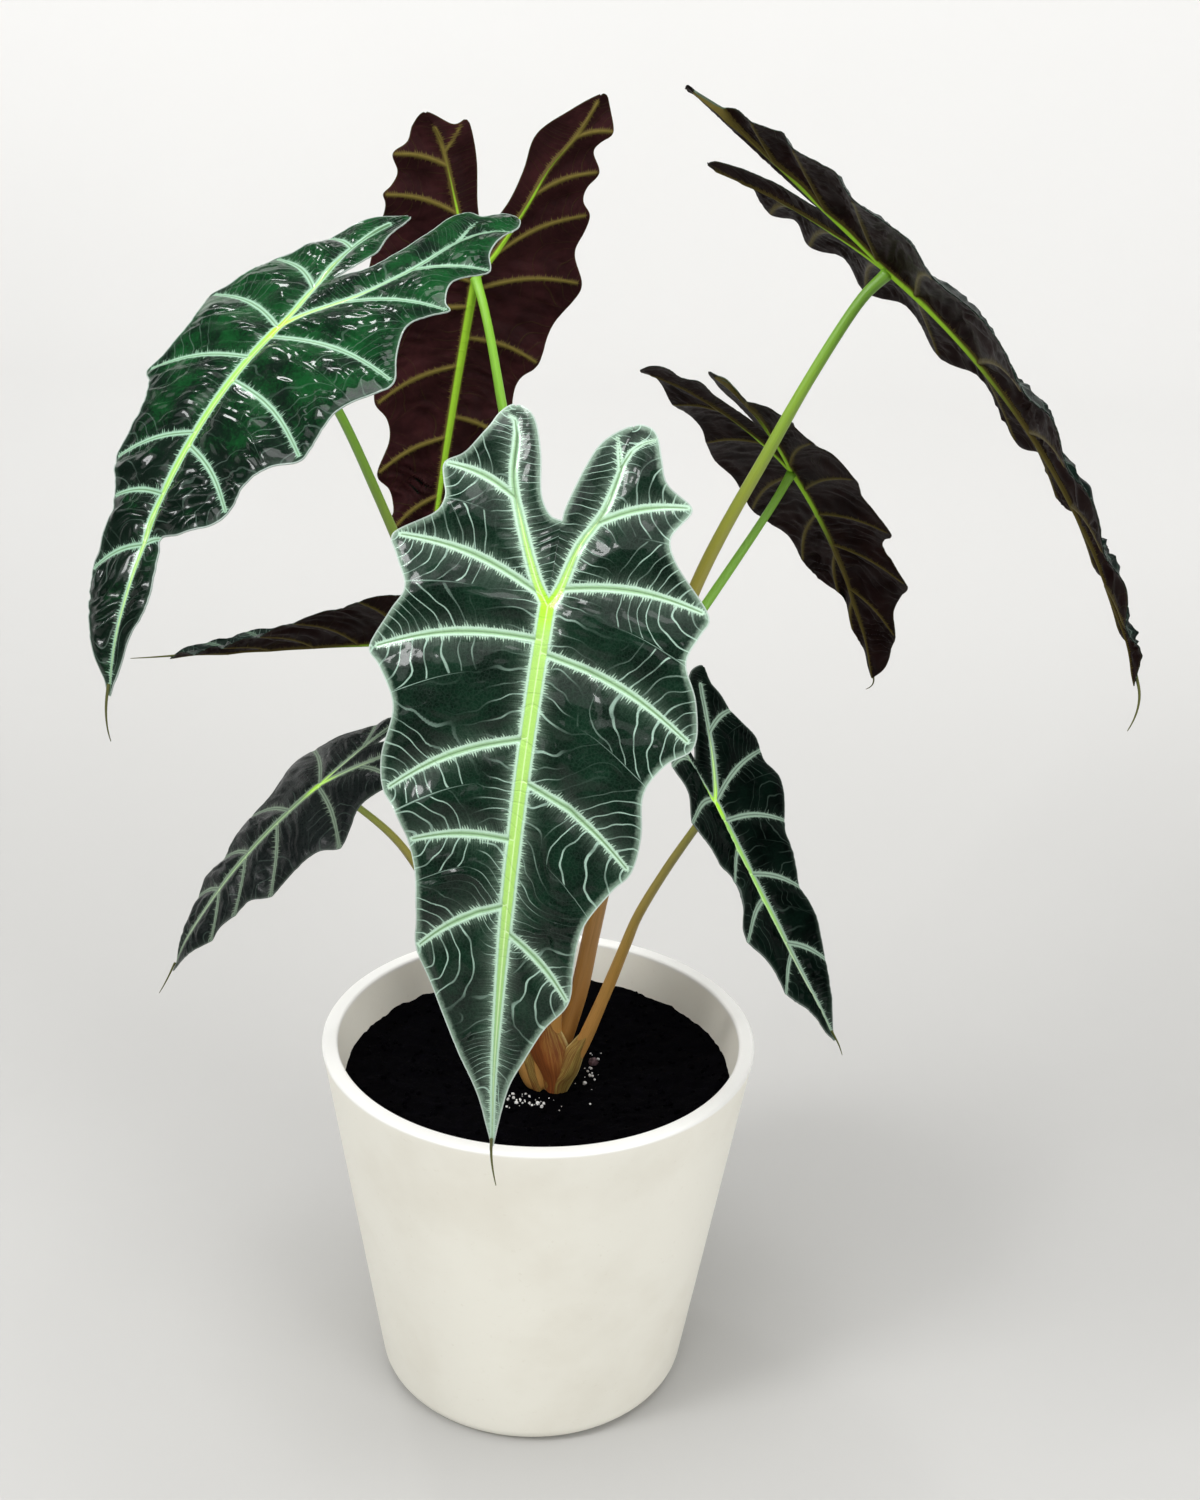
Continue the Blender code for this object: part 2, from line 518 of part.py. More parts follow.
def build_blade(leaf, parts, material):
    """A blade cut from the flat pattern, bent to its place and thickened downward."""
    points, edges, ribs, edge = lay_out_blade(leaf)
    flat, _, faces, _, _, _ = delaunay_2d_cdt(points, edges, [], 1, 1e-6)
    size = leaf.length / FULL_BLADE
    placed, weights = [], []
    for p in flat:
        nearest = min((distance_to_path(p, path), weight) for path, weight in ribs)
        away = 1.0 - math.exp(-(nearest[0] / (PUFF_REACH * size)) ** 2)
        if distance_to_path(p, edge) < 0.0002:
            away *= MARGIN_PUFF
        placed.append(bent(leaf, p.x, p.y, PUFF * size * away))
        taper = max(0.0, 1.0 - max(p.y, -p.y * 2.0) / leaf.length)
        rib = nearest[1] * (0.35 + 0.65 * taper) if nearest[0] < 0.0006 else 0.0
        weights.append(WEB_THICKNESS / RIB_THICKNESS + (1 - WEB_THICKNESS / RIB_THICKNESS) * rib)
    mesh = bpy.data.meshes.new("blade_" + leaf.name)
    mesh.from_pydata(placed, [], [tuple(f) for f in faces])
    blade = make_object("blade_" + leaf.name, mesh, parts, material)
    bm = bmesh.new()
    bm.from_mesh(mesh)
    bmesh.ops.recalc_face_normals(bm, faces=bm.faces)
    if sum((f.normal * f.calc_area() for f in bm.faces), Vector()).dot(leaf.face) < 0:
        bmesh.ops.reverse_faces(bm, faces=bm.faces)
    bm.to_mesh(mesh)
    bm.free()
    mesh.shade_smooth()
    group = blade.vertex_groups.new(name="thickness")
    for i, weight in enumerate(weights):
        group.add([i], min(weight, 1.0), "REPLACE")
    thicken = blade.modifiers.new("Thicken", "SOLIDIFY")
    thicken.thickness = RIB_THICKNESS
    thicken.offset = -1.0
    thicken.vertex_group = "thickness"
    split = blade.modifiers.new("Split", "TRIANGULATE")
    split.quad_method = "FIXED"
    return blade


def build_petiole(leaf, parts, cutters, crown_cutter, material):
    """A stalk from the crown to the blade, cut clear of both."""
    stalk = tube("petiole_" + leaf.name, leaf.stalk, leaf.radii, parts)
    stalk.data.materials.append(material)
    stalk.data.shade_smooth()
    add_boolean(stalk, crown_cutter)
    block = 0.030
    bpy.ops.mesh.primitive_cube_add(size=block)
    top = hide_cutter(bpy.context.object)
    top.name = "seat_" + leaf.name
    bpy.context.collection.objects.unlink(top)
    cutters.objects.link(top)
    turn = Matrix((leaf.across, leaf.along, leaf.face)).transposed().to_4x4()
    centre = leaf.hub + leaf.face * (block / 2 - RIB_THICKNESS - GAP)
    top.matrix_world = Matrix.Translation(centre) @ turn
    add_boolean(stalk, top)
    return stalk


def main():
    for item in list(bpy.data.objects):
        bpy.data.objects.remove(item)
    scene = bpy.context.scene.collection
    parts = bpy.data.collections.new("potted_polly_alocasia")
    cutters = bpy.data.collections.new("cutters")
    scene.children.link(parts)
    scene.children.link(cutters)

    build_pot(parts)
    build_soil(parts, cutters)
    crown = build_crown("crown", parts)
    crown.data.materials.append(make_material("sheath_brown", SHEATH_BROWN, 0.55))
    crown.data.shade_smooth()
    crown_cutter = hide_cutter(build_crown("crown_clearance", cutters, GAP))
    stalk_material = make_material("stalk_green", STALK_GREEN, 0.40)
    blade_material = make_material("blade_green", BLADE_GREEN, 0.30)
    for leaf in LEAVES:
        build_petiole(leaf, parts, cutters, crown_cutter, stalk_material)
        build_blade(leaf, parts, blade_material)


main()
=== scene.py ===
"""Looks for a potted polly alocasia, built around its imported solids.

Metres, +Z up, -Y is the front. Each leaf blade is laid out flat, veined, and then bent to its
place on its stalk; a blade's pattern is measured in millimetres on the flat layout.
"""
import json
import math
from dataclasses import dataclass

import bmesh
import bpy
import numpy as np
from bpy.props import FloatProperty, FloatVectorProperty, IntProperty, PointerProperty
from bpy.types import Operator, Panel, PropertyGroup
from mathutils import Matrix, Vector, noise

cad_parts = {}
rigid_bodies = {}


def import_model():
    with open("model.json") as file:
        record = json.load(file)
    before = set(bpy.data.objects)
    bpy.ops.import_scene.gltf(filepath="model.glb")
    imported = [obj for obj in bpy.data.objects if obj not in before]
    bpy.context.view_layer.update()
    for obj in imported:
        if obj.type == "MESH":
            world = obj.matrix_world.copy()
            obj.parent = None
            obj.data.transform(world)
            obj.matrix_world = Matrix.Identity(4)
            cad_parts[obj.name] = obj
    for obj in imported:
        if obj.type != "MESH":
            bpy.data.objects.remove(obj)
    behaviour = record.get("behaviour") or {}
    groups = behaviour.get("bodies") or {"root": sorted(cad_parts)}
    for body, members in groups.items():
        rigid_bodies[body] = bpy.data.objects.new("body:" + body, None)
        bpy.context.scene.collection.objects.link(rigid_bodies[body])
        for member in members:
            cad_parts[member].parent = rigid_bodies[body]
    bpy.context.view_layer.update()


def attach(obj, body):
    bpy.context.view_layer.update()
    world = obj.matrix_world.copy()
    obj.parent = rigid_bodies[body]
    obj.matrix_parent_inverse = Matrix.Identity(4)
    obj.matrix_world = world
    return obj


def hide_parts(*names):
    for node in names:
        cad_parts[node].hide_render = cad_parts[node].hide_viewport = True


bl_info = {
    "name": "Potted Polly Alocasia",
    "version": (1, 0, 0),
    "blender": (4, 5, 0),
    "location": "3D View > Sidebar > Alocasia",
    "description": "Builds a veined, waved polly alocasia in a cream pot around its solids",
    "category": "Object",
}

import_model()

MM = 0.001

# Pot, soil and crown, as in the solids
POT_RIM_RADIUS = 0.095
POT_BASE_RADIUS = 0.069
POT_HEIGHT = 0.168
POT_WALL = 0.0055
POT_RIM_WALL = 0.0068        # the wall is a little thicker at its rim
POT_FLOOR = 0.009
POT_FLOOR_BEVEL = (0.006, 0.004)   # across and up, where the inner wall meets the floor
POT_FOOT_ROUND = 0.009
POT_FOOT_INSET = 1.012       # its centre lies this many radii in, so that it meets the taper
POT_RIM_ROUND = 0.0014
POT_RIM_BAND = (0.0022, 0.0008)    # below the top: where the painted light on the rim starts and is full
POT_INNER_RUN = (0.03, POT_HEIGHT - 0.006)   # straight stretch of the inner side, going up
POT_OUTER_RUN = (POT_HEIGHT - 0.008, POT_FOOT_ROUND * 1.3)   # and of the outer side, going down
SOIL_EDGE_Z = 0.150
SOIL_MIDDLE_Z = 0.1415
SOIL_BASE_Z = 0.120
SOIL_GAP = 0.0002            # between soil and pot wall
SOIL_RINGS = 84
SOIL_STEPS = 260
SOIL_BUMPS = ((1.0, 0.0, 110.0), (0.6, 0.3, 260.0), (0.35, 0.9, 700.0))   # height, layer, scale
GRAIN_CLUSTERS = (((-0.002, -0.0155), (0.0085, 0.0035)), ((0.023, 0.010), (0.0035, 0.009)))
GRAIN_SPOT = (0.45, 0.43, 0.40)
BARK_CHIP = (0.0243, 0.0167)
CROWN_X, CROWN_Y = 0.005, 0.001

# The crown's core, as radius and height, its sheaths and the stalks, in millimetres
CORE = ((4.5, 138.0), (4.8, 146.0), (5.0, 154.0), (4.4, 160.0), (3.0, 163.0), (1.0, 164.0))
CORE_SIDES = 24
CORE_KHAKI = 0.4             # share of khaki, as a sheath has it
SHEATH_CELLS = 12            # across a sheath
SHEATH_STEPS = 4             # between two of its listed rows
SHEATH_WEB = 0.5             # its thickness along the middle
SHEATH_FOOT = 0.7            # share of its depth at its foot
SHEATH_RISE = 18.0           # height at which it has its full depth
STALK_STEPS = 10             # between two points that a stalk is listed by
STALK_SOURCE = 10.0          # depth in the soil of the place that the stalks come from
STALK_START = 0.6            # a stalk starts at this share of the way to its first point
STALK_END = 1.6              # and ends so far under the blade's hub
STALK_SWELL = (0.30, 4.0)    # how much it swells there, and over which distance
STALK_RIDGES = 5
STALK_STREAK = (0.14, 0.075, 0.018)

# The flat layout of a blade, in millimetres
FULL_BLADE = 176.0           # length of the blade that the pattern's sizes are given for
SMALL_BLADE = 0.7            # blades below this share of it draw their side ribs to the margin
CELL = 1.35                  # length of a mesh cell
COLUMN_CELLS = 44            # cells from midrib to margin
COLUMN_CROWD = 0.45          # how much they crowd at its ends
STATION_CROWD = 0.35         # and the stations between two ribs at the ribs
INNER_CELLS = 18             # cells from a back lobe's rib to its inner margin
RIB_CELLS = 12               # along a drawn side rib
VEIN_SAG = 0.07              # side ribs arch towards the hub by this share of their length
SEAM_SHARE = (0.33, 0.46)    # where a panel's seam lies between its ribs, from and to
MARGIN_STEP = 0.8            # between two points along a margin
MARGIN_STEPS = 8             # steps of the curve between two points that a margin is listed by
MARGIN_ROUNDS = 2            # of smoothing
MARGIN_TIP = 0.3             # half width of the blade at its tip
RIB_STEPS = 4                # steps of the curve between two points that a rib is listed by
LONG_BAY = 12.0              # a bay longer than this, with no points of its own, gets BAY_SHAPE
BAY_SHAPE = ((0.20, 0.07), (0.40, 0.17), (0.75, 0.03))   # along and into the blade, as shares
THREAD_RINGS, THREAD_SIDES = 14, 8
THREAD_ROOT = 4.0            # how far the drip thread starts before the tip
THREAD_RADIUS = (0.16, 0.45)   # at its end, and how much more at its root
THREAD_SUNK = 0.4            # below the upper face
WEB_RIM = (0.55, 4.0)        # share of the thickness at the rim, and where it is full
RIDGE_RIM = (0.15, 3.0)      # the same for the ribs below
JOIN_DIGITS = 4              # points alike to so many digits are joined
NEAR = 1e-6
TINY = 1e-9
VERY_FAR = 1e9

# Fine veins
LINE_SPACING = 5.0           # between two of them, in millimetres
LINE_BOW = 0.006             # bend of the lines off the midrib
LOBE_LINES = 1.5             # how much closer they lie on a back lobe
LOBE_ARC_LINES = 1.35        # and the arcs there
ARC_REACH = 0.66             # the arcs end at this share of the rib's length
LOBE_ARCS = 26.0             # the length that stands for it at a back lobe's rib
TIP_ARCS = 1.0               # and at the tip, where there are hardly any
HUB_BLEND = 8.0              # over which the lobe's lines turn into those off the midrib
FAR = 9.0                    # stands for a distance where no fine vein shows

# Relief of a blade, in millimetres on the full blade
PUFF_REACH = 8.0             # distance from a rib at which most of the swelling is reached
RIM_FLAT = 5.0               # the swelling dies away over this distance from the rim
WAVE_REACH = 9.0             # and the margin's waves over this one
MIDRIB_GROOVE = 0.35
DENT_DEPTH = 1.5             # of a long dent beside the midrib
CALM = (0.6, 0.8)            # share of creases and of wrinkles on the satin blade
CRINKLED = (1.3, 2.2)        # and on the others

# Ribs: half width of the pale band, half width of the lime core and height of the relief, each at
# the rib's foot, middle and end, and the weight of the fuzz beside it. A core below zero is none.
MIDRIB = ((3.1, 2.7, 0.5), (2.3, 1.7, -0.1), (2.3, 1.5, 0.4), 1.0)
LOBE_RIB = ((2.3, 1.8, 1.2), (1.6, 0.4, -1.0), (1.9, 1.3, 0.7), 0.8)
SIDE_RIB = ((1.35, 1.45, 0.85), (-0.6, -1.5, -2.0), (1.1, 0.8, 0.5), 0.5)
TWIG = ((1.1, 0.8, 0.4), (-1.5, -2.0, -2.0), (0.7, 0.5, 0.3), 0.4)
THORN_SPACING = 0.85         # between two thorns along a rib
HAIRS = 2.6                  # hairs to a millimetre of rib
HAIR_SEED, ARC_SEED, LINE_SEED = 29.0, 3.0, 11.0
# painted highlight: a pale gloss streak along the middle of the lime core
MIDRIB_HIGHLIGHT = (0.75, 0.92, 0.55)
RIM_PALE = (0.50, 0.58, 0.53)
DRIP_THREAD = (0.085, 0.090, 0.028)

# What each number of a laid-out point says
ARCS, LINES, SEAM, REACH, DEEP, HAIR, WAVE = range(7)

# Stage
BACKDROP_HALF = 3.0
BACKDROP_FRONT = -3.0
BACKDROP_BACK = 0.55
BACKDROP_BEND = 0.35
BACKDROP_HIGH = 0.80
PLANT_MIDDLE = (0.0, 0.0, 0.30)
LAMPS = {                    # place, what it is turned to, and size
    "key": ((-1.5, -1.0, 1.5), PLANT_MIDDLE, 1.3),
    "glint": ((-1.4, -1.0, 1.6), PLANT_MIDDLE, 0.48),
    "fill": ((1.5, -1.5, 0.9), PLANT_MIDDLE, 1.1),
    "top": ((0.1, -0.2, 2.0), PLANT_MIDDLE, 1.2),
    "back": ((-0.75, 1.0, 1.8), (-0.1, 0.0, 0.45), 0.22),
    "wash": ((0.0, -0.9, 2.2), (0.0, 0.55, 0.60), 2.0),
}
CAMERA_PLACE = (0.02246, -0.69379, 0.57735)
CAMERA_WAY = (0.0, 0.92976, -0.36817)
CAMERA_ROLL = 2.031


@dataclass
class Leaf:
    """One leaf, in millimetres. Its blade is laid out flat, with the hub at (0, 0), the tip along
    +y, and x counted from the midrib outward on both sides. A side lists its margin from the
    notch between the back lobes round to the tip: two numbers for a point on the margin, or three
    for the end of a rib, the first being the rib's foot along the midrib (negative: out along the
    lobe)."""
    name: str
    hub: tuple            # where the blade sits on its stalk
    tip_way: tuple        # where the blade's tip points, at the hub
    face_way: tuple       # where its upper face looks
    length: float         # what the bends and the pattern's size go by
    point: float          # from hub to tip
    droop: float          # bend of the midrib from hub to tip, in radians
    lobe_droop: float     # and of the back lobes
    fold: float           # how steeply each half rises from the midrib
    cup: float            # how much each half bends down towards its margin
    twist: float          # turn about the midrib, from hub to tip
    lobe_twist: float     # and of the back lobes
    sweep: float          # how far the tip lies to one side
    thread: float         # length of the drip thread
    curl: tuple           # how far the drip thread curls, across and up
    notch: float          # from hub to the notch between the back lobes
    left_lobe: list       # the back lobe's rib, from the hub out
    left: list
    right_lobe: list
    right: list
    stalk: list           # the stalk's middle, from the crown to the hub
    radii: tuple          # its radius at each of these points
    finish: str           # name of the upper face's finish
    brown: float          # share of the stalk, from its foot, that is brown
    under: str = "maroon"
    slim: float = 1.0     # width of the ribs beside those of the full blade
    dents: tuple = ()     # long dents beside the midrib: x, y, half length, half width
    twigs: tuple = ()     # short forks of the lobe ribs

    def __post_init__(self):
        along = Vector(self.tip_way).normalized()
        face = Vector(self.face_way)
        face = (face - along * face.dot(along)).normalized()
        self.across, self.along, self.face = (np.array(v) for v in (along.cross(face), along, face))
        self.hub = np.array(self.hub, float)
        self.size = self.length / FULL_BLADE
        self.sides = ((1, self.left_lobe, self.left), (-1, self.right_lobe, self.right))


def common_pattern(wide, long, lobe):
    """The ribs of an even side, for a blade that is seen from its edge."""
    back = [(8, -45), (-68, 22, -67), (-40, 35, -45), (-22, 43, -31)]
    front = [(-4, 52, -10), (13, 56, 25), (45, 48, 70), (75, 37, 97), (104, 26, 126), (134, 14, 151)]
    rows = []
    for row in back + front:
        reach = long * lobe if row[-1] < 0 else long
        foot = [row[0] * (long * lobe if row[0] < 0 else long)] if len(row) == 3 else []
        rows.append((*foot, wide * row[-2], reach * row[-1]))
    return rows


LEAVES = [
    Leaf("front", hub=(4, -140, 407), tip_way=(-0.13, -0.35, -0.93), face_way=(-0.16, -0.91, 0.37),
         length=176, point=192, droop=0.41, lobe_droop=0.25, fold=0.06, cup=0.30, twist=0.0,
         lobe_twist=0.0, sweep=-2.5, thread=13, curl=(-3, 3), notch=28,
         left_lobe=[(5, -7.5), (12.5, -24), (18, -38.5), (19.5, -53)],
         left=[(4, -29), (8, -35.5), (10.5, -48.5), (15, -60), (-61, 22, -63.5),
               (26.5, -60), (29, -54), (35, -45.5), (-37, 42, -41.5),
               (41, -35.5), (39, -30), (41.5, -24), (-4, 55, -16),
               (52, -8.5), (47, 1), (51, 9.5), (11, 57, 22),
               (52, 28), (45, 40), (47.5, 57), (43, 46, 68),
               (40.5, 73.5), (77, 36, 83), (31.5, 94), (30, 108), (99, 30, 119.5),
               (23, 132), (14, 150.5), (6, 168), (2, 184)],
         right_lobe=[(3, -5.5), (7, -20.5), (13, -32.5), (16.5, -48.5)],
         right=[(0.5, -32.5), (4.5, -46), (9, -55.5), (-59, 18, -62),
                (25, -60.5), (29, -51.5), (32, -44), (-31, 41, -38),
                (38.5, -32), (36, -26.5), (40, -18.5), (-7, 52, -5),
                (50.5, 1.5), (47.5, 11), (52.5, 22.5), (15, 54, 37),
                (46, 44), (40.5, 54), (41.5, 68), (57, 39.5, 81),
                (34, 88), (26.5, 101), (24.5, 116), (108, 23.5, 130),
                (16.5, 140), (10.5, 153), (6, 164), (2.5, 180)],
         dents=[(-14, 17, 9, 2.2), (-19, 27, 10, 2.6), (-12, 52, 11, 2.4), (-17, 64, 7, 2),
                (13, 58, 9, 2.2), (-11, 84, 10, 2), (-15, 108, 9, 1.8), (11, 98, 8, 1.8)],
         twigs=[[(19.5, -53), (21, -58), (24, -60)],
                [(-16.5, -48.5), (-18.5, -53), (-21.5, -56), (-25.5, -57.5)],
                [(-16, -47), (-14, -54), (-13, -57)]],
         stalk=[(6, -2, 148), (6, -6, 180), (5, -14, 225), (4, -30, 300), (4, -60, 362),
                (4, -100, 397), (4, -126, 405), (4, -140, 407)],
         radii=(4.2, 3.9, 3.6, 3.2, 2.9, 2.6, 2.5, 2.5), finish="satin", brown=0.35),
    Leaf("upper_left", hub=(-92, -70, 482), tip_way=(-0.50, -0.72, -0.48),
         face_way=(-0.26, -0.40, 0.88), length=144, point=144, droop=0.78, lobe_droop=0.40,
         fold=0.0, cup=0.38, twist=-0.12, lobe_twist=-0.12, sweep=-5, thread=16, curl=(3, -5),
         notch=31,
         left_lobe=[(1.5, -12), (7.5, -38), (10.5, -56), (10, -74)],
         left=[(-2.5, -43), (-3, -52), (2, -64), (4.5, -76), (-78, 8, -83.5),
               (14.5, -78.5), (19, -70), (-53, 26.5, -58),
               (26.5, -51), (30, -43), (-24, 38, -40.5),
               (37.5, -29.5), (41, -21), (1, 49, -15),
               (43.5, -4), (39, 8), (42, 21), (17, 45.5, 28),
               (36, 35.5), (30.5, 47), (33, 59), (51, 33.5, 65),
               (27, 71), (75, 25, 79), (20, 86.5), (20, 96), (93, 23, 105),
               (17.5, 116), (9.5, 130.5), (4.5, 137.5)],
         right_lobe=[(4, -7.5), (16.5, -25), (22.5, -46.5), (23.5, -72)],
         right=[(8, -40), (10.5, -56), (10, -74), (8, -86), (10.5, -95), (17, -95), (21.5, -102),
                (-94, 27, -104), (33, -96), (35, -86), (39, -70.5), (-52, 46, -61),
                (45.5, -52), (43, -42.5), (47, -33.5), (-22, 51, -31),
                (48, -24.5), (46, -14), (52, 0.5), (6, 58.5, 12),
                (56, 20.5), (50, 32.5), (48.5, 44), (28, 47, 52),
                (39, 58), (33.5, 66), (56, 30, 76.5), (26.5, 82), (16, 87.5), (93, 6, 89.5),
                (8.5, 95), (13, 110.5), (9.5, 121), (4.5, 134)],
         twigs=[[(-23.5, -72), (-25.5, -80.5), (-29, -87), (-34.5, -90)],
                [(-23.5, -71), (-19.5, -83.5), (-18, -90)]],
         stalk=[(1, -3, 148), (-3, -4, 180), (-10, -6, 222), (-24, -12, 290), (-39, -21, 345),
                (-52, -30, 384), (-63, -43, 418), (-73, -55, 447), (-84, -65, 471), (-92, -70, 482)],
         radii=(4.0, 3.7, 3.3, 2.7, 2.3, 2.0, 1.8, 1.7, 1.7, 1.7), finish="glossy", brown=0.58,
         slim=0.70),
    Leaf("back", hub=(-35, 55, 485), tip_way=(-0.18, 0.15, -0.97), face_way=(-0.22, 0.96, 0.19),
         length=142, point=142, droop=0.20, lobe_droop=-0.19, fold=0.08, cup=0.30, twist=0.0,
         lobe_twist=0.0, sweep=0, thread=9, curl=(0, 0), notch=17,
         left_lobe=[(3.5, -5.5), (14, -27.5), (21.5, -46.5), (31, -62), (36.5, -75)],
         left=[(8, -31.5), (12, -45), (14.5, -59), (25.5, -69.5), (-82, 37.5, -78.5),
               (41.5, -75.5), (-68, 45, -65), (41.5, -60.5), (39, -56), (-40, 42.5, -49),
               (39.5, -42.5), (38.5, -36.5), (-12, 42, -32), (41.5, -24.5), (39.5, -15),
               (5, 44.5, -4), (43, 3.5), (36, 17), (25, 33, 32.5), (27, 39.5), (25.5, 48),
               (59, 27, 68), (96, 13, 112)],
         right_lobe=[(5.5, -8), (11, -23.5), (20.5, -46.5), (25.5, -55)],
         right=[(4, -29), (7, -45), (11, -56.5), (14, -60.5), (18.5, -57.5), (-62, 30, -60.5),
                (34, -54.5), (35, -48), (-46, 40.5, -43), (37, -36), (39, -30.5), (-27, 42, -27),
                (40, -21), (2, 43, 3), (12, 39, 29), (37, 32.5, 58.5), (26.5, 64.5), (24, 74),
                (68, 27.5, 88.5), (21, 95), (18, 104), (94, 18, 112)],
         slim=0.72, twigs=[[(-20.5, -46.5), (-17.5, -52.5), (-15.5, -58)]],
         stalk=[(3, 6, 148), (3, 11, 190), (3, 16, 240), (1, 22, 310), (-7, 27, 375),
                (-19, 31, 424), (-27, 42, 460), (-31, 48, 475), (-34, 52.5, 483), (-35, 55, 485)],
         radii=(4.0, 3.7, 3.4, 2.8, 2.3, 2.0, 1.8, 1.8, 1.8, 1.8), finish="glossy", brown=0.46),
    Leaf("upper_right", hub=(125, 1, 500), tip_way=(0.74, -0.38, -0.55), face_way=(0.65, 0.16, 0.75),
         length=189, point=183, droop=0.63, lobe_droop=0.30, fold=0.10, cup=0.70, twist=-0.03,
         lobe_twist=-0.36, sweep=0, thread=16, curl=(0, -7), notch=34,
         left_lobe=[(14, -46), (27, -93)], left=common_pattern(1.08, 1.08, 1.35),
         right_lobe=[(14, -43), (27, -86)], right=common_pattern(1.08, 1.08, 1.24),
         stalk=[(8, 0, 148), (10.5, 1, 163), (17, 2, 188), (21.5, 3, 215), (26, 4, 240), (37, 5, 300),
                (59, 5, 374), (85, 4, 431), (99, 3, 460), (114, 2, 487), (125, 1, 500)],
         radii=(4.6, 4.3, 4.0, 3.8, 3.6, 3.1, 2.7, 2.4, 2.2, 2.1, 2.1), finish="night", brown=0.62,
         under="dusk", slim=0.7),
    Leaf("middle_right", hub=(102, 80, 405), tip_way=(0.47, 0.58, -0.67), face_way=(0.39, 0.54, 0.74),
         length=144, point=144, droop=0.42, lobe_droop=0.50, fold=0.0, cup=0.40, twist=-0.10,
         lobe_twist=-0.10, sweep=0, thread=12, curl=(-8, 2), notch=39,
         left_lobe=[(7, -48), (14, -97)],
         left=[(1.5, -55), (-60, 2.5, -72.5), (7, -87), (-98, 15.5, -104.5), (12.5, -83),
               (-56, 12, -69), (12.5, -58), (-27, 23, -52), (19, -39), (-4, 25.5, -33), (25, -23),
               (14, 35, -6), (32, 5), (30, 15.5), (32, 39.5, 32.5), (31.5, 42.5), (28, 51.5),
               (54, 37, 69.5), (29, 82), (21.5, 95), (84, 20.5, 110), (14, 122), (8, 136)],
         right_lobe=[(8, -48), (17, -97)],
         right=[(3, -55), (5, -68), (3, -82), (-60, 8.5, -87.5), (8, -102.5), (-98, 18.5, -102.5),
                (21, -92), (26, -75), (-55, 30, -59), (32.5, -42.5), (32, -30), (-24, 34.5, -20),
                (41, 0.5), (38, 14), (37, 26), (2, 36.5, 36.5), (33, 48), (25, 59),
                (32, 21.5, 72.5), (19, 86), (60, 7, 90), (7, 104), (93, 5.5, 115), (3, 134.5)],
         stalk=[(8, 6, 148), (10, 10, 185), (15, 17, 230), (27, 27, 280), (46, 41, 322),
                (67, 55, 352), (91, 71, 387), (102, 80, 405)],
         radii=(3.6, 3.4, 3.1, 2.8, 2.4, 2.1, 1.8, 1.8), finish="night", brown=0.45,
         under="dusk", slim=0.6),
    Leaf("back_left", hub=(-51, 20, 341), tip_way=(-0.98, 0.16, -0.12),
         face_way=(-0.09, 0.38, 0.92), length=112, point=115, droop=0.05, lobe_droop=0.25,
         fold=0.52, cup=0.30, twist=0.60, lobe_twist=0.0, sweep=0, thread=18, curl=(0, 1), notch=19,
         left_lobe=[(6, -18), (13, -36)], left=common_pattern(0.42, 0.66, 0.85),
         right_lobe=[(7, -19), (15, -38)], right=common_pattern(0.72, 0.66, 1.0),
         stalk=[(-4, 4, 148), (-9, 6, 175), (-18, 9, 215), (-31, 13, 262), (-43, 17, 305),
                (-51, 20, 341)],
         radii=(3.4, 3.1, 2.7, 2.3, 2.0, 1.8), finish="night", brown=0.3, under="dusk", slim=0.6),
    Leaf("lower_left", hub=(-86, -50, 304), tip_way=(-0.75, -0.14, -0.64),
         face_way=(-0.56, -0.37, 0.74), length=102, point=103, droop=0.47, lobe_droop=0.50,
         fold=-0.10, cup=0.46, twist=0.10, lobe_twist=0.10, sweep=0, thread=12, curl=(0, 1),
         notch=27, left_lobe=[(2, -13.5), (5, -27), (6, -42)],
         left=[(-32, 3, -42), (-44, 7, -50), (-22, 16.5, -29.5), (19.5, -20), (26, -8), (0, 32, 0),
               (31.5, 10), (23.5, 17), (21, 25), (16, 23.5, 37), (17, 43.5), (40, 16, 55.5),
               (14.5, 68), (60, 14, 75.5), (6, 84.5), (0.5, 97)],
         right_lobe=[(6, -20), (13, -41)],
         right=[(-32, 8, -42), (-43, 17, -49), (-18, 23, -27), (24.5, -12), (30, -3.5), (1, 33, 4.5),
                (28, 12.5), (27, 26), (23, 25.5, 40), (20, 48.5), (42, 16, 60), (15, 68),
                (60, 13, 76), (8.5, 85.5), (5, 93.5)],
         stalk=[(-4, -4, 147), (-12, -9, 171), (-20, -14, 193), (-32, -22, 223), (-45, -31, 252),
                (-57, -38, 275), (-71, -45, 292), (-82, -49, 301), (-86, -50, 304)],
         radii=(3.2, 2.8, 2.5, 2.1, 1.8, 1.6, 1.4, 1.3, 1.3), finish="charcoal", brown=0.75,
         slim=0.65),
    Leaf("lower_right", hub=(68, -50, 302), tip_way=(0.47, -0.29, -0.83), face_way=(0.74, -0.32, 0.57),
         length=105, point=104, droop=-0.05, lobe_droop=-0.10, fold=0.25, cup=0.32, twist=-0.20,
         lobe_twist=-0.20, sweep=0, thread=6, curl=(2, 0), notch=19,
         left_lobe=[(6, -20), (12, -42)],
         left=[(-32, 6, -42), (-44, 14, -50), (-21, 30, -22.5), (31, -10), (-2, 33.5, 0),
               (30.5, 12), (29, 20), (20, 17.5, 28.5), (23, 35.5), (31, 43), (42, 30.5, 49.5),
               (25.5, 60), (66, 19.5, 75.5), (12, 87), (6.5, 97.5)],
         right_lobe=[(4.5, -5.5), (14.5, -22), (20, -33), (25.5, -43.5)],
         right=[(-34, 14, -38), (18, -47), (25, -50.5), (-52, 34.5, -49.5), (31.5, -42), (35, -34),
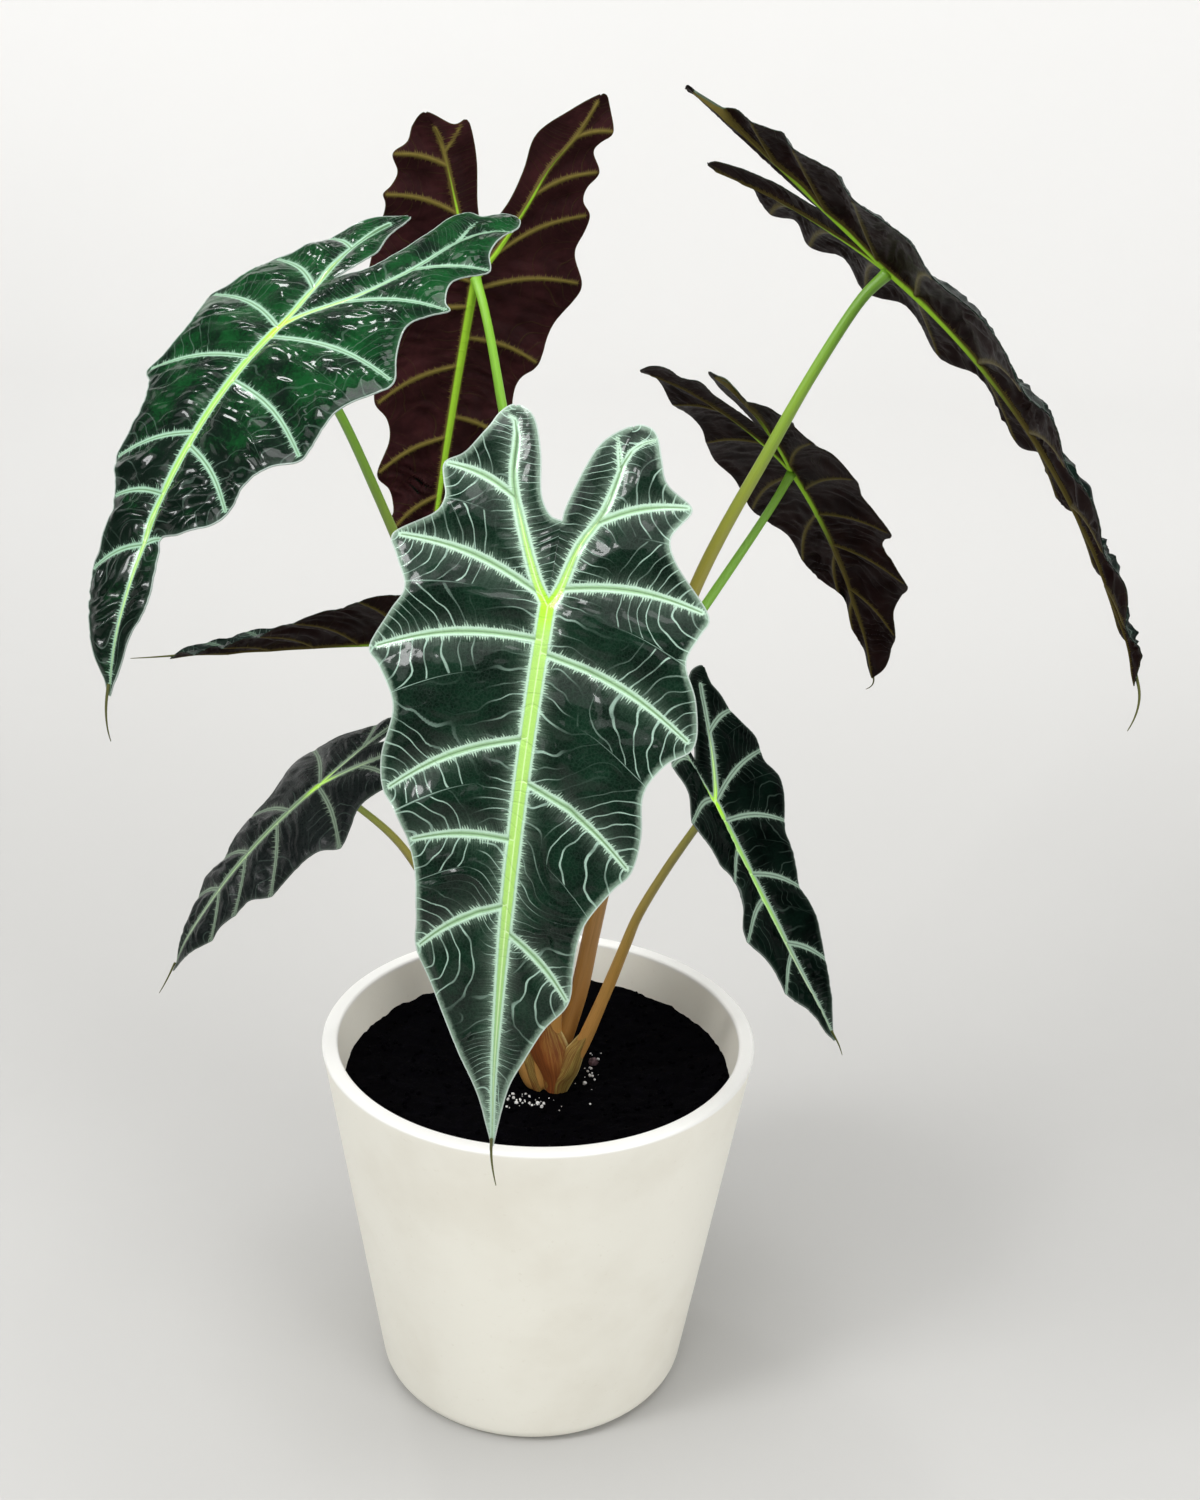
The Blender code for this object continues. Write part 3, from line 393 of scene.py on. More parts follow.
                (-30, 38, -28.5), (39.5, -20), (43.5, -13), (0, 43.5, -8), (41, -4), (43, 3.5),
                (41, 10), (8, 34, 21), (29, 25.5), (25, 37), (31, 22, 46.5), (22, 53), (18, 66),
                (61, 15, 76), (9, 85), (1.5, 99)],
         stalk=[(10, -3, 146), (13, -4, 153), (19, -7, 166), (29, -14, 198), (36, -22, 224),
                (41, -28, 242), (51, -37, 267), (62, -46, 291), (68, -50, 302)],
         radii=(4.6, 4.0, 3.2, 2.6, 2.3, 2.0, 1.8, 1.6, 1.6), finish="black", brown=0.85,
         slim=0.85),
]


# Sizes and colours that a user would change

def colour(name, about, value):
    """A colour that a user can set."""
    return FloatVectorProperty(name=name, description=about, default=value, subtype="COLOR",
                               size=3, min=0.0, max=1.0)


class BladeLook(PropertyGroup):
    dark: colour("Deep green", "Darkest green of the upper face", (0.0008, 0.0065, 0.0030))
    green: colour("Green", "Lighter green between the ribs", (0.0036, 0.021, 0.0098))
    mint: colour("Rib edge", "Pale edges of the ribs", (0.47, 0.67, 0.51))
    rib: colour("Rib", "Core of a side rib", (0.26, 0.45, 0.22))
    lime: colour("Midrib", "Core of the midrib", (0.38, 0.64, 0.15))
    hub: colour("Hub", "Where midrib, lobe ribs and stalk meet", (0.40, 0.76, 0.05))
    thread: colour("Fine vein", "Fine veins between the ribs", (0.33, 0.48, 0.39))
    maroon: colour("Underside", "Maroon of the lower face", (0.016, 0.0045, 0.0048))
    # a darker copy of the maroon: painted shade for the undersides that face down, away from the lamps
    dusk: colour("Shaded underside", "Lower face of the older leaves", (0.0065, 0.0026, 0.0024))
    olive: colour("Underside rib", "Side ribs on the lower face", (0.22, 0.175, 0.040))
    keel: colour("Underside midrib", "Midrib on the lower face", (0.30, 0.56, 0.035))
    puff: FloatProperty(name="Swelling", description="Lift of the panels between the ribs",
                        default=0.0024, unit="LENGTH", min=0.0, max=0.006)
    pucker: FloatProperty(name="Puckers", description="Depth of the creases at the fine veins",
                          default=0.00055, unit="LENGTH", min=0.0, max=0.002)
    wrinkle: FloatProperty(name="Wrinkles", description="Depth of the wrinkles between the ribs",
                           default=0.00080, unit="LENGTH", min=0.0, max=0.003)
    wave: FloatProperty(name="Margin wave", description="Rise and fall of the margin",
                        default=0.0013, unit="LENGTH", min=0.0, max=0.004)
    web: FloatProperty(name="Thickness", description="Blade thickness between the ribs",
                       default=0.0007, unit="LENGTH", min=0.0003, max=0.002)


class StalkLook(PropertyGroup):
    top: colour("Top", "Stalk near the blade", (0.22, 0.50, 0.035))
    middle: colour("Middle", "Stalk halfway", (0.29, 0.25, 0.038))
    foot: colour("Foot", "Stalk near the soil", (0.50, 0.255, 0.068))
    sides: IntProperty(name="Sides", description="Faces round a stalk", default=20, min=8, max=64)
    ridge: FloatProperty(name="Ridges", description="Depth of the stalk's fine ridges",
                         default=0.00006, unit="LENGTH", min=0.0, max=0.0005)


class CrownLook(PropertyGroup):
    rust: colour("Rust", "Inner sheath", (0.28, 0.080, 0.020))
    khaki: colour("Khaki", "Outer sheaths", (0.33, 0.235, 0.060))
    shade: colour("Streak", "Dark streaks along a sheath", (0.14, 0.045, 0.014))
    border: colour("Border", "Pale dry border of a sheath", (0.50, 0.40, 0.16))


class PotLook(PropertyGroup):
    body: colour("Pot", "Cream of the pot", (0.86, 0.84, 0.75))
    # the rim's top painted lighter: painted light from above
    rim: colour("Rim", "Lighter rim", (0.92, 0.92, 0.89))
    speck: colour("Stain", "Faint darker clouds in the cream", (0.66, 0.61, 0.50))
    steps: IntProperty(name="Steps", description="Faces round the pot", default=192, min=32, max=512)


class SoilLook(PropertyGroup):
    dark: colour("Soil", "Damp soil", (0.0006, 0.0005, 0.0010))
    grain: colour("Grain", "Pale mineral grains", (0.78, 0.78, 0.76))
    chip: colour("Chip", "A chip of bark", (0.13, 0.075, 0.085))
    grains: IntProperty(name="Grains", description="Pale grains near the stem", default=66,
                        min=0, max=400)
    crumbs: IntProperty(name="Crumbs", description="Crumbs of dark soil", default=420,
                        min=0, max=2000)
    rough: FloatProperty(name="Roughness", description="Height of the soil's lumps",
                         default=0.0011, unit="LENGTH", min=0.0, max=0.004)


class StageLook(PropertyGroup):
    wall: colour("Wall", "Pale wall behind the pot", (0.70, 0.695, 0.683))
    # painted shade: the floor is set greyer than the wall
    floor: colour("Floor", "Pale floor, a little greyer than the wall", (0.50, 0.496, 0.482))
    key: FloatProperty(name="Key light", description="Soft light, upper left", default=9.0,
                       unit="POWER", min=0.0)
    glint: FloatProperty(name="Glint light", description="Small light beside the key",
                         default=17.0, unit="POWER", min=0.0)
    fill: FloatProperty(name="Fill light", description="Soft light from the right", default=21.0,
                        unit="POWER", min=0.0)
    top: FloatProperty(name="Top light", description="Soft light straight above the pot",
                       default=21.0, unit="POWER", min=0.0)
    back: FloatProperty(name="Back light", description="Soft light from above and behind",
                        default=3.0, unit="POWER", min=0.0)
    wash: FloatProperty(name="Wall light", description="Wide soft light on the wall", default=17.5,
                        unit="POWER", min=0.0)
    sky: FloatProperty(name="Room light", description="Even light from the room", default=0.185,
                       min=0.0, max=4.0)
    beyond: FloatProperty(name="Beyond", description="Brightness of the room beyond the backdrop",
                          default=0.80, min=0.0, max=4.0)
    lens: FloatProperty(name="Lens", description="Focal length on a 36 mm frame", default=43.2,
                        unit="CAMERA", min=10.0, max=200.0)


# Shader nodes

class Nodes:
    """Short words for building one material's node tree."""

    def __init__(self, name):
        self.material = bpy.data.materials.new(name)
        self.material.use_nodes = True
        self.tree = self.material.node_tree
        self.shader = self.tree.nodes["Principled BSDF"]

    def add(self, kind, **settings):
        node = self.tree.nodes.new(kind)
        for key, value in settings.items():
            setattr(node, key, value)
        return node

    def join(self, value, socket):
        """Links a socket, or sets it to a number, a vector or a colour."""
        if isinstance(value, bpy.types.NodeSocket):
            self.tree.links.new(value, socket)
        elif isinstance(value, (int, float)):
            socket.default_value = value
        else:
            value = tuple(value)
            fits = len(socket.default_value) == len(value)
            socket.default_value = value if fits else (*value, 1.0)

    def math(self, operation, a, b=0.0):
        node = self.add("ShaderNodeMath", operation=operation)
        for value, socket in zip((a, b), node.inputs):
            self.join(value, socket)
        return node.outputs[0]

    def plus(self, a, b):
        return self.math("ADD", a, b)

    def minus(self, a, b):
        return self.math("SUBTRACT", a, b)

    def times(self, a, b):
        return self.math("MULTIPLY", a, b)

    def highest(self, a, b):
        return self.math("MAXIMUM", a, b)

    def rise(self, value, low, high, start=0.0, end=1.0):
        """Smoothly from start to end as the value goes from low to high."""
        node = self.add("ShaderNodeMapRange", interpolation_type="SMOOTHSTEP")
        for key, number in zip(("Value", "From Min", "From Max", "To Min", "To Max"),
                               (value, low, high, start, end)):
            self.join(number, node.inputs[key])
        return node.outputs[0]

    def fall(self, value, low, high, start=1.0, end=0.0):
        """The same, from start down to end."""
        return self.rise(value, low, high, start, end)

    def mix(self, share, a, b):
        """From colour a to colour b."""
        node = self.add("ShaderNodeMix", data_type="RGBA")
        self.join(share, node.inputs["Factor"])
        self.join(a, node.inputs[6])
        self.join(b, node.inputs[7])
        return node.outputs[2]

    def over(self, tone, mask, tint, strength):
        """Lays a tint over the tone where the mask says, at so much strength."""
        return self.mix(self.times(mask, strength), tone, tint)

    def vector(self, x, y, z=0.0):
        node = self.add("ShaderNodeCombineXYZ")
        for value, socket in zip((x, y, z), node.inputs):
            self.join(value, socket)
        return node.outputs[0]

    def noise(self, place, scale, detail=2.0, roughness=0.5):
        node = self.add("ShaderNodeTexNoise")
        self.join(place, node.inputs["Vector"])
        node.inputs["Scale"].default_value = scale
        node.inputs["Detail"].default_value = detail
        node.inputs["Roughness"].default_value = roughness
        return node.outputs[0]

    def cells(self, place, scale):
        """Distance to the border of the nearest cell."""
        node = self.add("ShaderNodeTexVoronoi", feature="DISTANCE_TO_EDGE")
        self.join(place, node.inputs["Vector"])
        node.inputs["Scale"].default_value = scale
        return node.outputs[0]

    def draw(self, value, seed):
        """A random number for each whole value."""
        node = self.add("ShaderNodeTexWhiteNoise", noise_dimensions="2D")
        self.join(self.vector(value, seed), node.inputs["Vector"])
        return node.outputs[0]

    def attribute(self, name):
        return self.add("ShaderNodeAttribute", attribute_name=name).outputs["Vector"]

    def split(self, vector):
        node = self.add("ShaderNodeSeparateXYZ")
        self.join(vector, node.inputs[0])
        return node.outputs

    def place(self):
        return self.add("ShaderNodeTexCoord").outputs["Object"]

    def bump(self, height, strength, distance):
        """Fine relief that only light shows."""
        node = self.add("ShaderNodeBump")
        node.inputs["Strength"].default_value = strength
        node.inputs["Distance"].default_value = distance
        self.join(height, node.inputs["Height"])
        self.tree.links.new(node.outputs[0], self.shader.inputs["Normal"])

    def clear_from_behind(self):
        """Lets whoever looks from behind the surface see through it."""
        both = self.add("ShaderNodeMixShader")
        behind = self.add("ShaderNodeNewGeometry").outputs["Backfacing"]
        self.tree.links.new(behind, both.inputs[0])
        self.tree.links.new(self.shader.outputs[0], both.inputs[1])
        self.tree.links.new(self.add("ShaderNodeBsdfTransparent").outputs[0], both.inputs[2])
        self.tree.links.new(both.outputs[0], self.tree.nodes["Material Output"].inputs["Surface"])

    def set(self, **sockets):
        """Sets the shader's sockets, with underscores for the spaces in their names."""
        for key, value in sockets.items():
            self.join(value, self.shader.inputs[key.replace("_", " ")])
        return self.material


def scaled(tint, by):
    """A darker or lighter colour."""
    return tuple(by * v for v in tint)


class Veins:
    """What both faces of a blade share: masks of its ribs, their thorns and the fine veins."""

    def __init__(self, nodes):
        self.nodes = nodes
        self.edge, self.centre, self.lime = nodes.split(nodes.attribute("vein"))
        self.rim, self.seed, self.thread = nodes.split(nodes.attribute("rim"))
        self.main, self.along, _ = nodes.split(nodes.attribute("rib"))
        self.arc, self.off_midrib, self.seam = nodes.split(nodes.attribute("lines"))
        self.reach, self.deep, self.hair = nodes.split(nodes.attribute("reach"))
        self.flat = nodes.attribute("flat")
        self.outside = nodes.highest(self.edge, 0.0)
        self.ragged = nodes.minus(nodes.noise(self.flat, 1.3, 3.0, 0.6), 0.5)

    def band(self):
        """The pale band over a rib, with a ragged edge."""
        nodes = self.nodes
        return nodes.fall(nodes.plus(self.edge, nodes.times(self.ragged, 0.8)), -0.30, 0.15)

    def thorns(self):
        """Teeth of uneven height that stand out from a rib's band."""
        nodes = self.nodes
        count = nodes.times(self.hair, 1.0 / THORN_SPACING)
        middle = nodes.times(nodes.math("PINGPONG", nodes.math("FRACT", count), 0.5), 2.0)
        drawn = nodes.math("POWER", nodes.draw(nodes.math("FLOOR", count), self.seed), 2.5)
        tall = nodes.plus(nodes.times(drawn, 2.0), 0.20)
        thorn = nodes.times(tall, nodes.math("POWER", middle, 1.5))
        edge = nodes.plus(self.edge, nodes.times(self.ragged, 0.5))
        return nodes.fall(nodes.minus(edge, thorn), -0.15, 0.20)

    def fuzz(self):
        """Paleness in uneven hairs beside a rib, strongest beside the main ribs."""
        nodes = self.nodes
        fuzz = nodes.math("EXPONENT", nodes.times(self.outside, -0.60))
        hairs = nodes.math("FLOOR", nodes.times(self.hair, HAIRS))
        hairs = nodes.draw(hairs, nodes.plus(self.seed, HAIR_SEED))
        fuzz = nodes.times(fuzz, nodes.rise(hairs, 0.0, 1.0, 0.45, 1.25))
        patches = nodes.noise(self.flat, 2.2, 2.0)
        fuzz = nodes.times(fuzz, nodes.rise(patches, 0.30, 0.70, 0.6, 1.0))
        return nodes.times(fuzz, self.main)

    def lines(self, value, key):
        """A thin line at each whole step of the value, some plainer than others."""
        nodes = self.nodes
        near = nodes.math("EXPONENT", nodes.times(self.outside, -1.1))
        width = nodes.plus(nodes.times(near, 0.03), 0.030)
        away = nodes.math("ABSOLUTE", nodes.minus(nodes.math("FRACT", value), 0.5))
        drawn = nodes.draw(nodes.math("FLOOR", value), nodes.plus(self.seed, key))
        line = nodes.fall(nodes.minus(away, width), 0.0, 0.045)
        return nodes.times(line, nodes.rise(drawn, 0.05, 0.60, 0.30, 1.0))

    def fine(self):
        """Fine veins: arcs round a rib's end, lines off the midrib and each panel's seam."""
        nodes = self.nodes
        arcs = nodes.times(self.lines(self.arc, ARC_SEED), nodes.fall(self.reach, 0.80, 1.02))
        arcs = nodes.times(arcs, nodes.rise(self.seam, 0.2, 0.9))
        shallow = nodes.fall(self.deep, 4.0, 16.0, 1.0, 0.06)
        fade = nodes.times(nodes.rise(self.reach, 0.95, 1.15), shallow)
        offs = nodes.times(self.lines(self.off_midrib, LINE_SEED), fade)
        broken = nodes.rise(nodes.noise(self.flat, 0.11, 1.0), 0.34, 0.52, 0.40, 1.0)
        seams = nodes.times(nodes.fall(self.seam, 0.12, 0.36), nodes.fall(self.reach, 0.4, 1.0, 0.8))
        return nodes.highest(nodes.times(nodes.highest(arcs, offs), broken), seams)


@dataclass
class Skin:
    """How the upper face of one kind of blade looks."""
    dark: tuple           # the panels at their darkest
    green: tuple          # and at their lightest
    edge: tuple           # edges of the side ribs
    core: tuple           # and their core
    midrib: tuple         # core of the midrib
    rough: float
    coat: float
    gloss: float
    haze: float           # how plain the down beside the ribs is, and the pale band at the rim, which is partly down and partly painted sheen
    fine: float           # how plain the fine veins are
    rim: float            # and the pale rim
    lime_to: float        # where along the blade the midrib has turned pale
    tip_painted_shade: float = 0.0   # how much painted shade darkens the panels near the tip


def upper_skins(look):
    """The kinds of upper face, by the names that the leaves have for them."""
    return {
        "satin": Skin(look.dark, look.green, look.mint, look.rib, look.lime, rough=0.28,
                      coat=0.34, gloss=0.04, haze=0.42, fine=0.88, rim=0.75, lime_to=0.95),
        "glossy": Skin(look.dark, (0.0035, 0.058, 0.012), (0.32, 0.52, 0.37), (0.20, 0.38, 0.18),
                       (0.30, 0.57, 0.11), rough=0.20, coat=0.42, gloss=0.02, haze=0.06,
                       fine=0.12, rim=0.60, lime_to=1.40, tip_painted_shade=0.26),
        "charcoal": Skin((0.0022, 0.0040, 0.0038), (0.0060, 0.0095, 0.0085), (0.21, 0.28, 0.20),
                         (0.13, 0.19, 0.13), (0.17, 0.28, 0.14), rough=0.30, coat=0.03,
                         gloss=0.10, haze=0.05, fine=0.10, rim=0.10, lime_to=0.80),
        "black": Skin((0.0006, 0.0016, 0.0012), (0.0018, 0.0065, 0.0040), (0.27, 0.38, 0.29),
                      (0.19, 0.27, 0.20), (0.30, 0.56, 0.13), rough=0.24, coat=0.04, gloss=0.0,
                      haze=0.05, fine=0.06, rim=0.20, lime_to=0.75),
        "night": Skin((0.0012, 0.0040, 0.0030), (0.0035, 0.0110, 0.0075), (0.12, 0.18, 0.13),
                      (0.08, 0.12, 0.08), (0.12, 0.20, 0.07), rough=0.35, coat=0.0, gloss=0.06,
                      haze=0.03, fine=0.20, rim=0.0, lime_to=0.60),
    }


def panel_tone(nodes, look, skin, veins, mottle):
    """The green between the ribs: cloudy, with painted shade darkening it near the tip, and a faint
    net.
    """
    cloud = nodes.noise(veins.flat, 0.07, 3.0)
    # painted shade: the panels darken from the hub towards the tip
    shade = nodes.rise(veins.along, 0.05, 0.65, 0.0, skin.tip_painted_shade)
    light = nodes.minus(nodes.plus(cloud, nodes.times(mottle, 0.45)), shade)
    tone = nodes.mix(nodes.rise(light, 0.52, 0.95), skin.dark, skin.green)
    net = nodes.fall(nodes.cells(veins.flat, 0.8), 0.03, 0.12)
    return nodes.over(tone, net, look.thread, 0.02 * skin.fine)


def midrib_tone(nodes, look, skin, veins):
    """Brightest at the hub, paler towards the tip, with a painted highlight along its middle."""
    paler = nodes.rise(veins.along, 0.5 * skin.lime_to, skin.lime_to)
    tone = nodes.mix(paler, skin.midrib, skin.core)
    from_hub = nodes.add("ShaderNodeVectorMath", operation="LENGTH")
    nodes.join(veins.flat, from_hub.inputs[0])
    tone = nodes.mix(nodes.fall(from_hub.outputs["Value"], 2.0, 11.0), tone, look.hub)
    # painted highlight: a pale gloss streak along the middle of the lime core
    return nodes.mix(nodes.fall(veins.centre, 0.10, 0.35, 0.45), tone, MIDRIB_HIGHLIGHT)


def upper_finish(look, name, skin):
    """The upper face: deep green, pale ribs with thorns and fuzz, lime midrib, fine veins."""
    nodes = Nodes("blade_upper_" + name)
    veins = Veins(nodes)
    band, fine = veins.band(), veins.fine()
    mottle = nodes.noise(veins.flat, 0.8, 4.0, 0.65)
    grain = nodes.minus(mottle, 0.5)
    speckle = nodes.times(grain, 0.4)
    tone = panel_tone(nodes, look, skin, veins, mottle)
    tone = nodes.over(tone, veins.fuzz(), skin.edge, skin.haze)
    tone = nodes.over(tone, fine, look.thread, skin.fine)
    tone = nodes.over(tone, veins.thorns(), skin.edge, 0.70)
    tone = nodes.over(tone, band, skin.edge, 0.97)
    core = nodes.fall(nodes.plus(veins.edge, nodes.plus(speckle, 0.75)), -0.25, 0.30)
    tone = nodes.over(tone, core, skin.core, 0.80)
    groove = nodes.times(nodes.fall(veins.centre, 0.12, 0.42), band)
    tone = nodes.over(tone, groove, scaled(skin.core, 0.45), 0.70)
    yellow = nodes.fall(nodes.plus(veins.lime, speckle), -0.35, 0.25)
    tone = nodes.mix(yellow, tone, midrib_tone(nodes, look, skin, veins))
    # pale band along the rim: partly down, partly painted sheen
    rim_down_and_sheen = nodes.fall(nodes.plus(veins.rim, nodes.times(grain, 2.5)), 0.2, 2.6)
    tone = nodes.over(tone, rim_down_and_sheen, skin.edge, skin.haze)
    tone = nodes.over(tone, nodes.fall(veins.rim, 0.25, 0.60), RIM_PALE, skin.rim)
    tone = nodes.mix(veins.thread, tone, DRIP_THREAD)
    rough = nodes.rise(mottle, 0.3, 0.7, skin.rough - 0.05, skin.rough + 0.06)
    height = nodes.plus(nodes.times(fine, -0.6), nodes.times(mottle, 0.5))
    height = nodes.plus(height, nodes.times(nodes.cells(veins.flat, 1.2), 0.5))
    height = nodes.plus(height, nodes.times(band, 0.8))
    nodes.bump(height, 0.6, 0.00035)
    return nodes.set(Base_Color=tone, Roughness=nodes.plus(rough, nodes.times(band, 0.20)),
                     Coat_Weight=skin.coat, Coat_Roughness=0.08, Specular_IOR_Level=skin.gloss)


def under_finish(look, name, skin, olive, keel_to):
    """The lower face: dark satin, lime midrib, thin olive side ribs with long thorns."""
    nodes = Nodes("blade_under_" + name)
    veins = Veins(nodes)
    fine = veins.fine()
    mottle = nodes.noise(veins.flat, 0.6, 4.0, 0.6)
    light = nodes.plus(nodes.noise(veins.flat, 0.06, 3.0), nodes.times(mottle, 0.3))
    tone = nodes.mix(nodes.rise(light, 0.45, 0.85), skin, scaled(skin, 2.0))
    tone = nodes.over(tone, fine, scaled(olive, 0.3), 0.30)
    thorns = nodes.times(nodes.fall(veins.edge, 0.0, 2.2, 0.55), veins.thorns())
    tone = nodes.mix(thorns, tone, olive)
    ragged = nodes.plus(veins.centre, nodes.times(nodes.minus(mottle, 0.5), 0.4))
    side = nodes.times(nodes.fall(ragged, 0.35, 0.75), nodes.fall(veins.edge, -0.4, 0.0))
    tone = nodes.over(tone, side, olive, 0.85)
    from_hub = nodes.math("ABSOLUTE", veins.along)
    keel = nodes.mix(nodes.rise(from_hub, 0.3 * keel_to, keel_to), look.keel, olive)
    tone = nodes.mix(nodes.fall(nodes.minus(veins.lime, 0.1), -0.35, 0.35), tone, keel)
    tone = nodes.mix(nodes.fall(veins.rim, 0.20, 0.50, 0.20), tone, olive)
    rough = nodes.rise(mottle, 0.3, 0.7, 0.42, 0.55)
    nodes.bump(nodes.plus(nodes.times(fine, 0.9), nodes.times(mottle, 0.4)), 0.6, 0.0003)
    return nodes.set(Base_Color=tone, Roughness=rough, Specular_IOR_Level=0.04)


# Blades

def bent(leaf, x, y, lift):
    """Carries places on the flat blade to where they lie on the bent blade, in metres."""
    length = leaf.length
    way = np.where(y >= 0, 1.0, -1.0)
    bend = np.where(y >= 0, leaf.droop, leaf.lobe_droop)
    turn = bend * np.abs(y) / length
    rate = bend / length
    ahead = way * np.sin(turn) / rate
    below = -(1.0 - np.cos(turn)) / rate
    lean = way * turn
    start = leaf.fold
    end = leaf.fold - leaf.cup * np.abs(x) / length
    side = np.where(x >= 0, 1.0, -1.0)
    out = side * (length * (np.sin(start) - np.sin(end)) / leaf.cup - np.sin(end) * lift)
    up = length * (np.cos(end) - np.cos(start)) / leaf.cup + np.cos(end) * lift
    roll = np.where(y > 0, leaf.twist, leaf.lobe_twist) * y / length
    out, up = out * np.cos(roll) - up * np.sin(roll), out * np.sin(roll) + up * np.cos(roll)
    out = out + leaf.sweep * (np.maximum(y, 0.0) / length) ** 2
    place = (leaf.hub + np.outer(out, leaf.across) + np.outer(ahead + up * np.sin(lean), leaf.along)
             + np.outer(below + up * np.cos(lean), leaf.face))
    return place * MM


def lengths_along(path):
    """How far along the path each of its points lies."""
    return np.r_[0.0, np.cumsum(np.linalg.norm(np.diff(path, axis=0), axis=1))]


def smooth_path(points, steps):
    """A smooth curve through the points."""
    points = np.array(points, float)
    ends = np.concatenate([[2 * points[0] - points[1]], points, [2 * points[-1] - points[-2]]])
    curve = []
    for a, b, c, d in zip(ends, ends[1:], ends[2:], ends[3:]):
        for t in np.linspace(0.0, 1.0, steps, endpoint=False):
            curve.append(0.5 * (2 * b + (c - a) * t + (2 * a - 5 * b + 4 * c - d) * t ** 2
                                + (3 * b - a - 3 * c + d) * t ** 3))
    return np.array(curve + [points[-1]])


def ease(values, steps):
    """Goes smoothly from each value to the next, for a curve of as many steps."""
    eased = []
    for start, end in zip(values, values[1:]):
        for t in np.linspace(0.0, 1.0, steps, endpoint=False):
            eased.append(start + (end - start) * (3 * t ** 2 - 2 * t ** 3))
    return np.array(eased + [values[-1]])


def crowd(t, share):
    """Draws even steps from 0 to 1 together at both ends."""
    return t - share * np.sin(2 * np.pi * t) / (2 * np.pi)


def distance_to(points, path):
    """Each point's distance from a path, and how far along the path its nearest place lies."""
    best = np.full(len(points), VERY_FAR)
    share = np.zeros(len(points))
    total = np.linalg.norm(np.diff(path, axis=0), axis=1).sum()
    run = 0.0
    for a, b in zip(path, path[1:]):
        span = b - a
        size = np.linalg.norm(span)
        t = np.clip(((points - a) @ span) / max(size ** 2, TINY), 0.0, 1.0)
        far = np.linalg.norm(points - (a + np.outer(t, span)), axis=1)
        nearer = far < best
        best[nearer] = far[nearer]
        share[nearer] = (run + t[nearer] * size) / total
        run += size
    return best, share


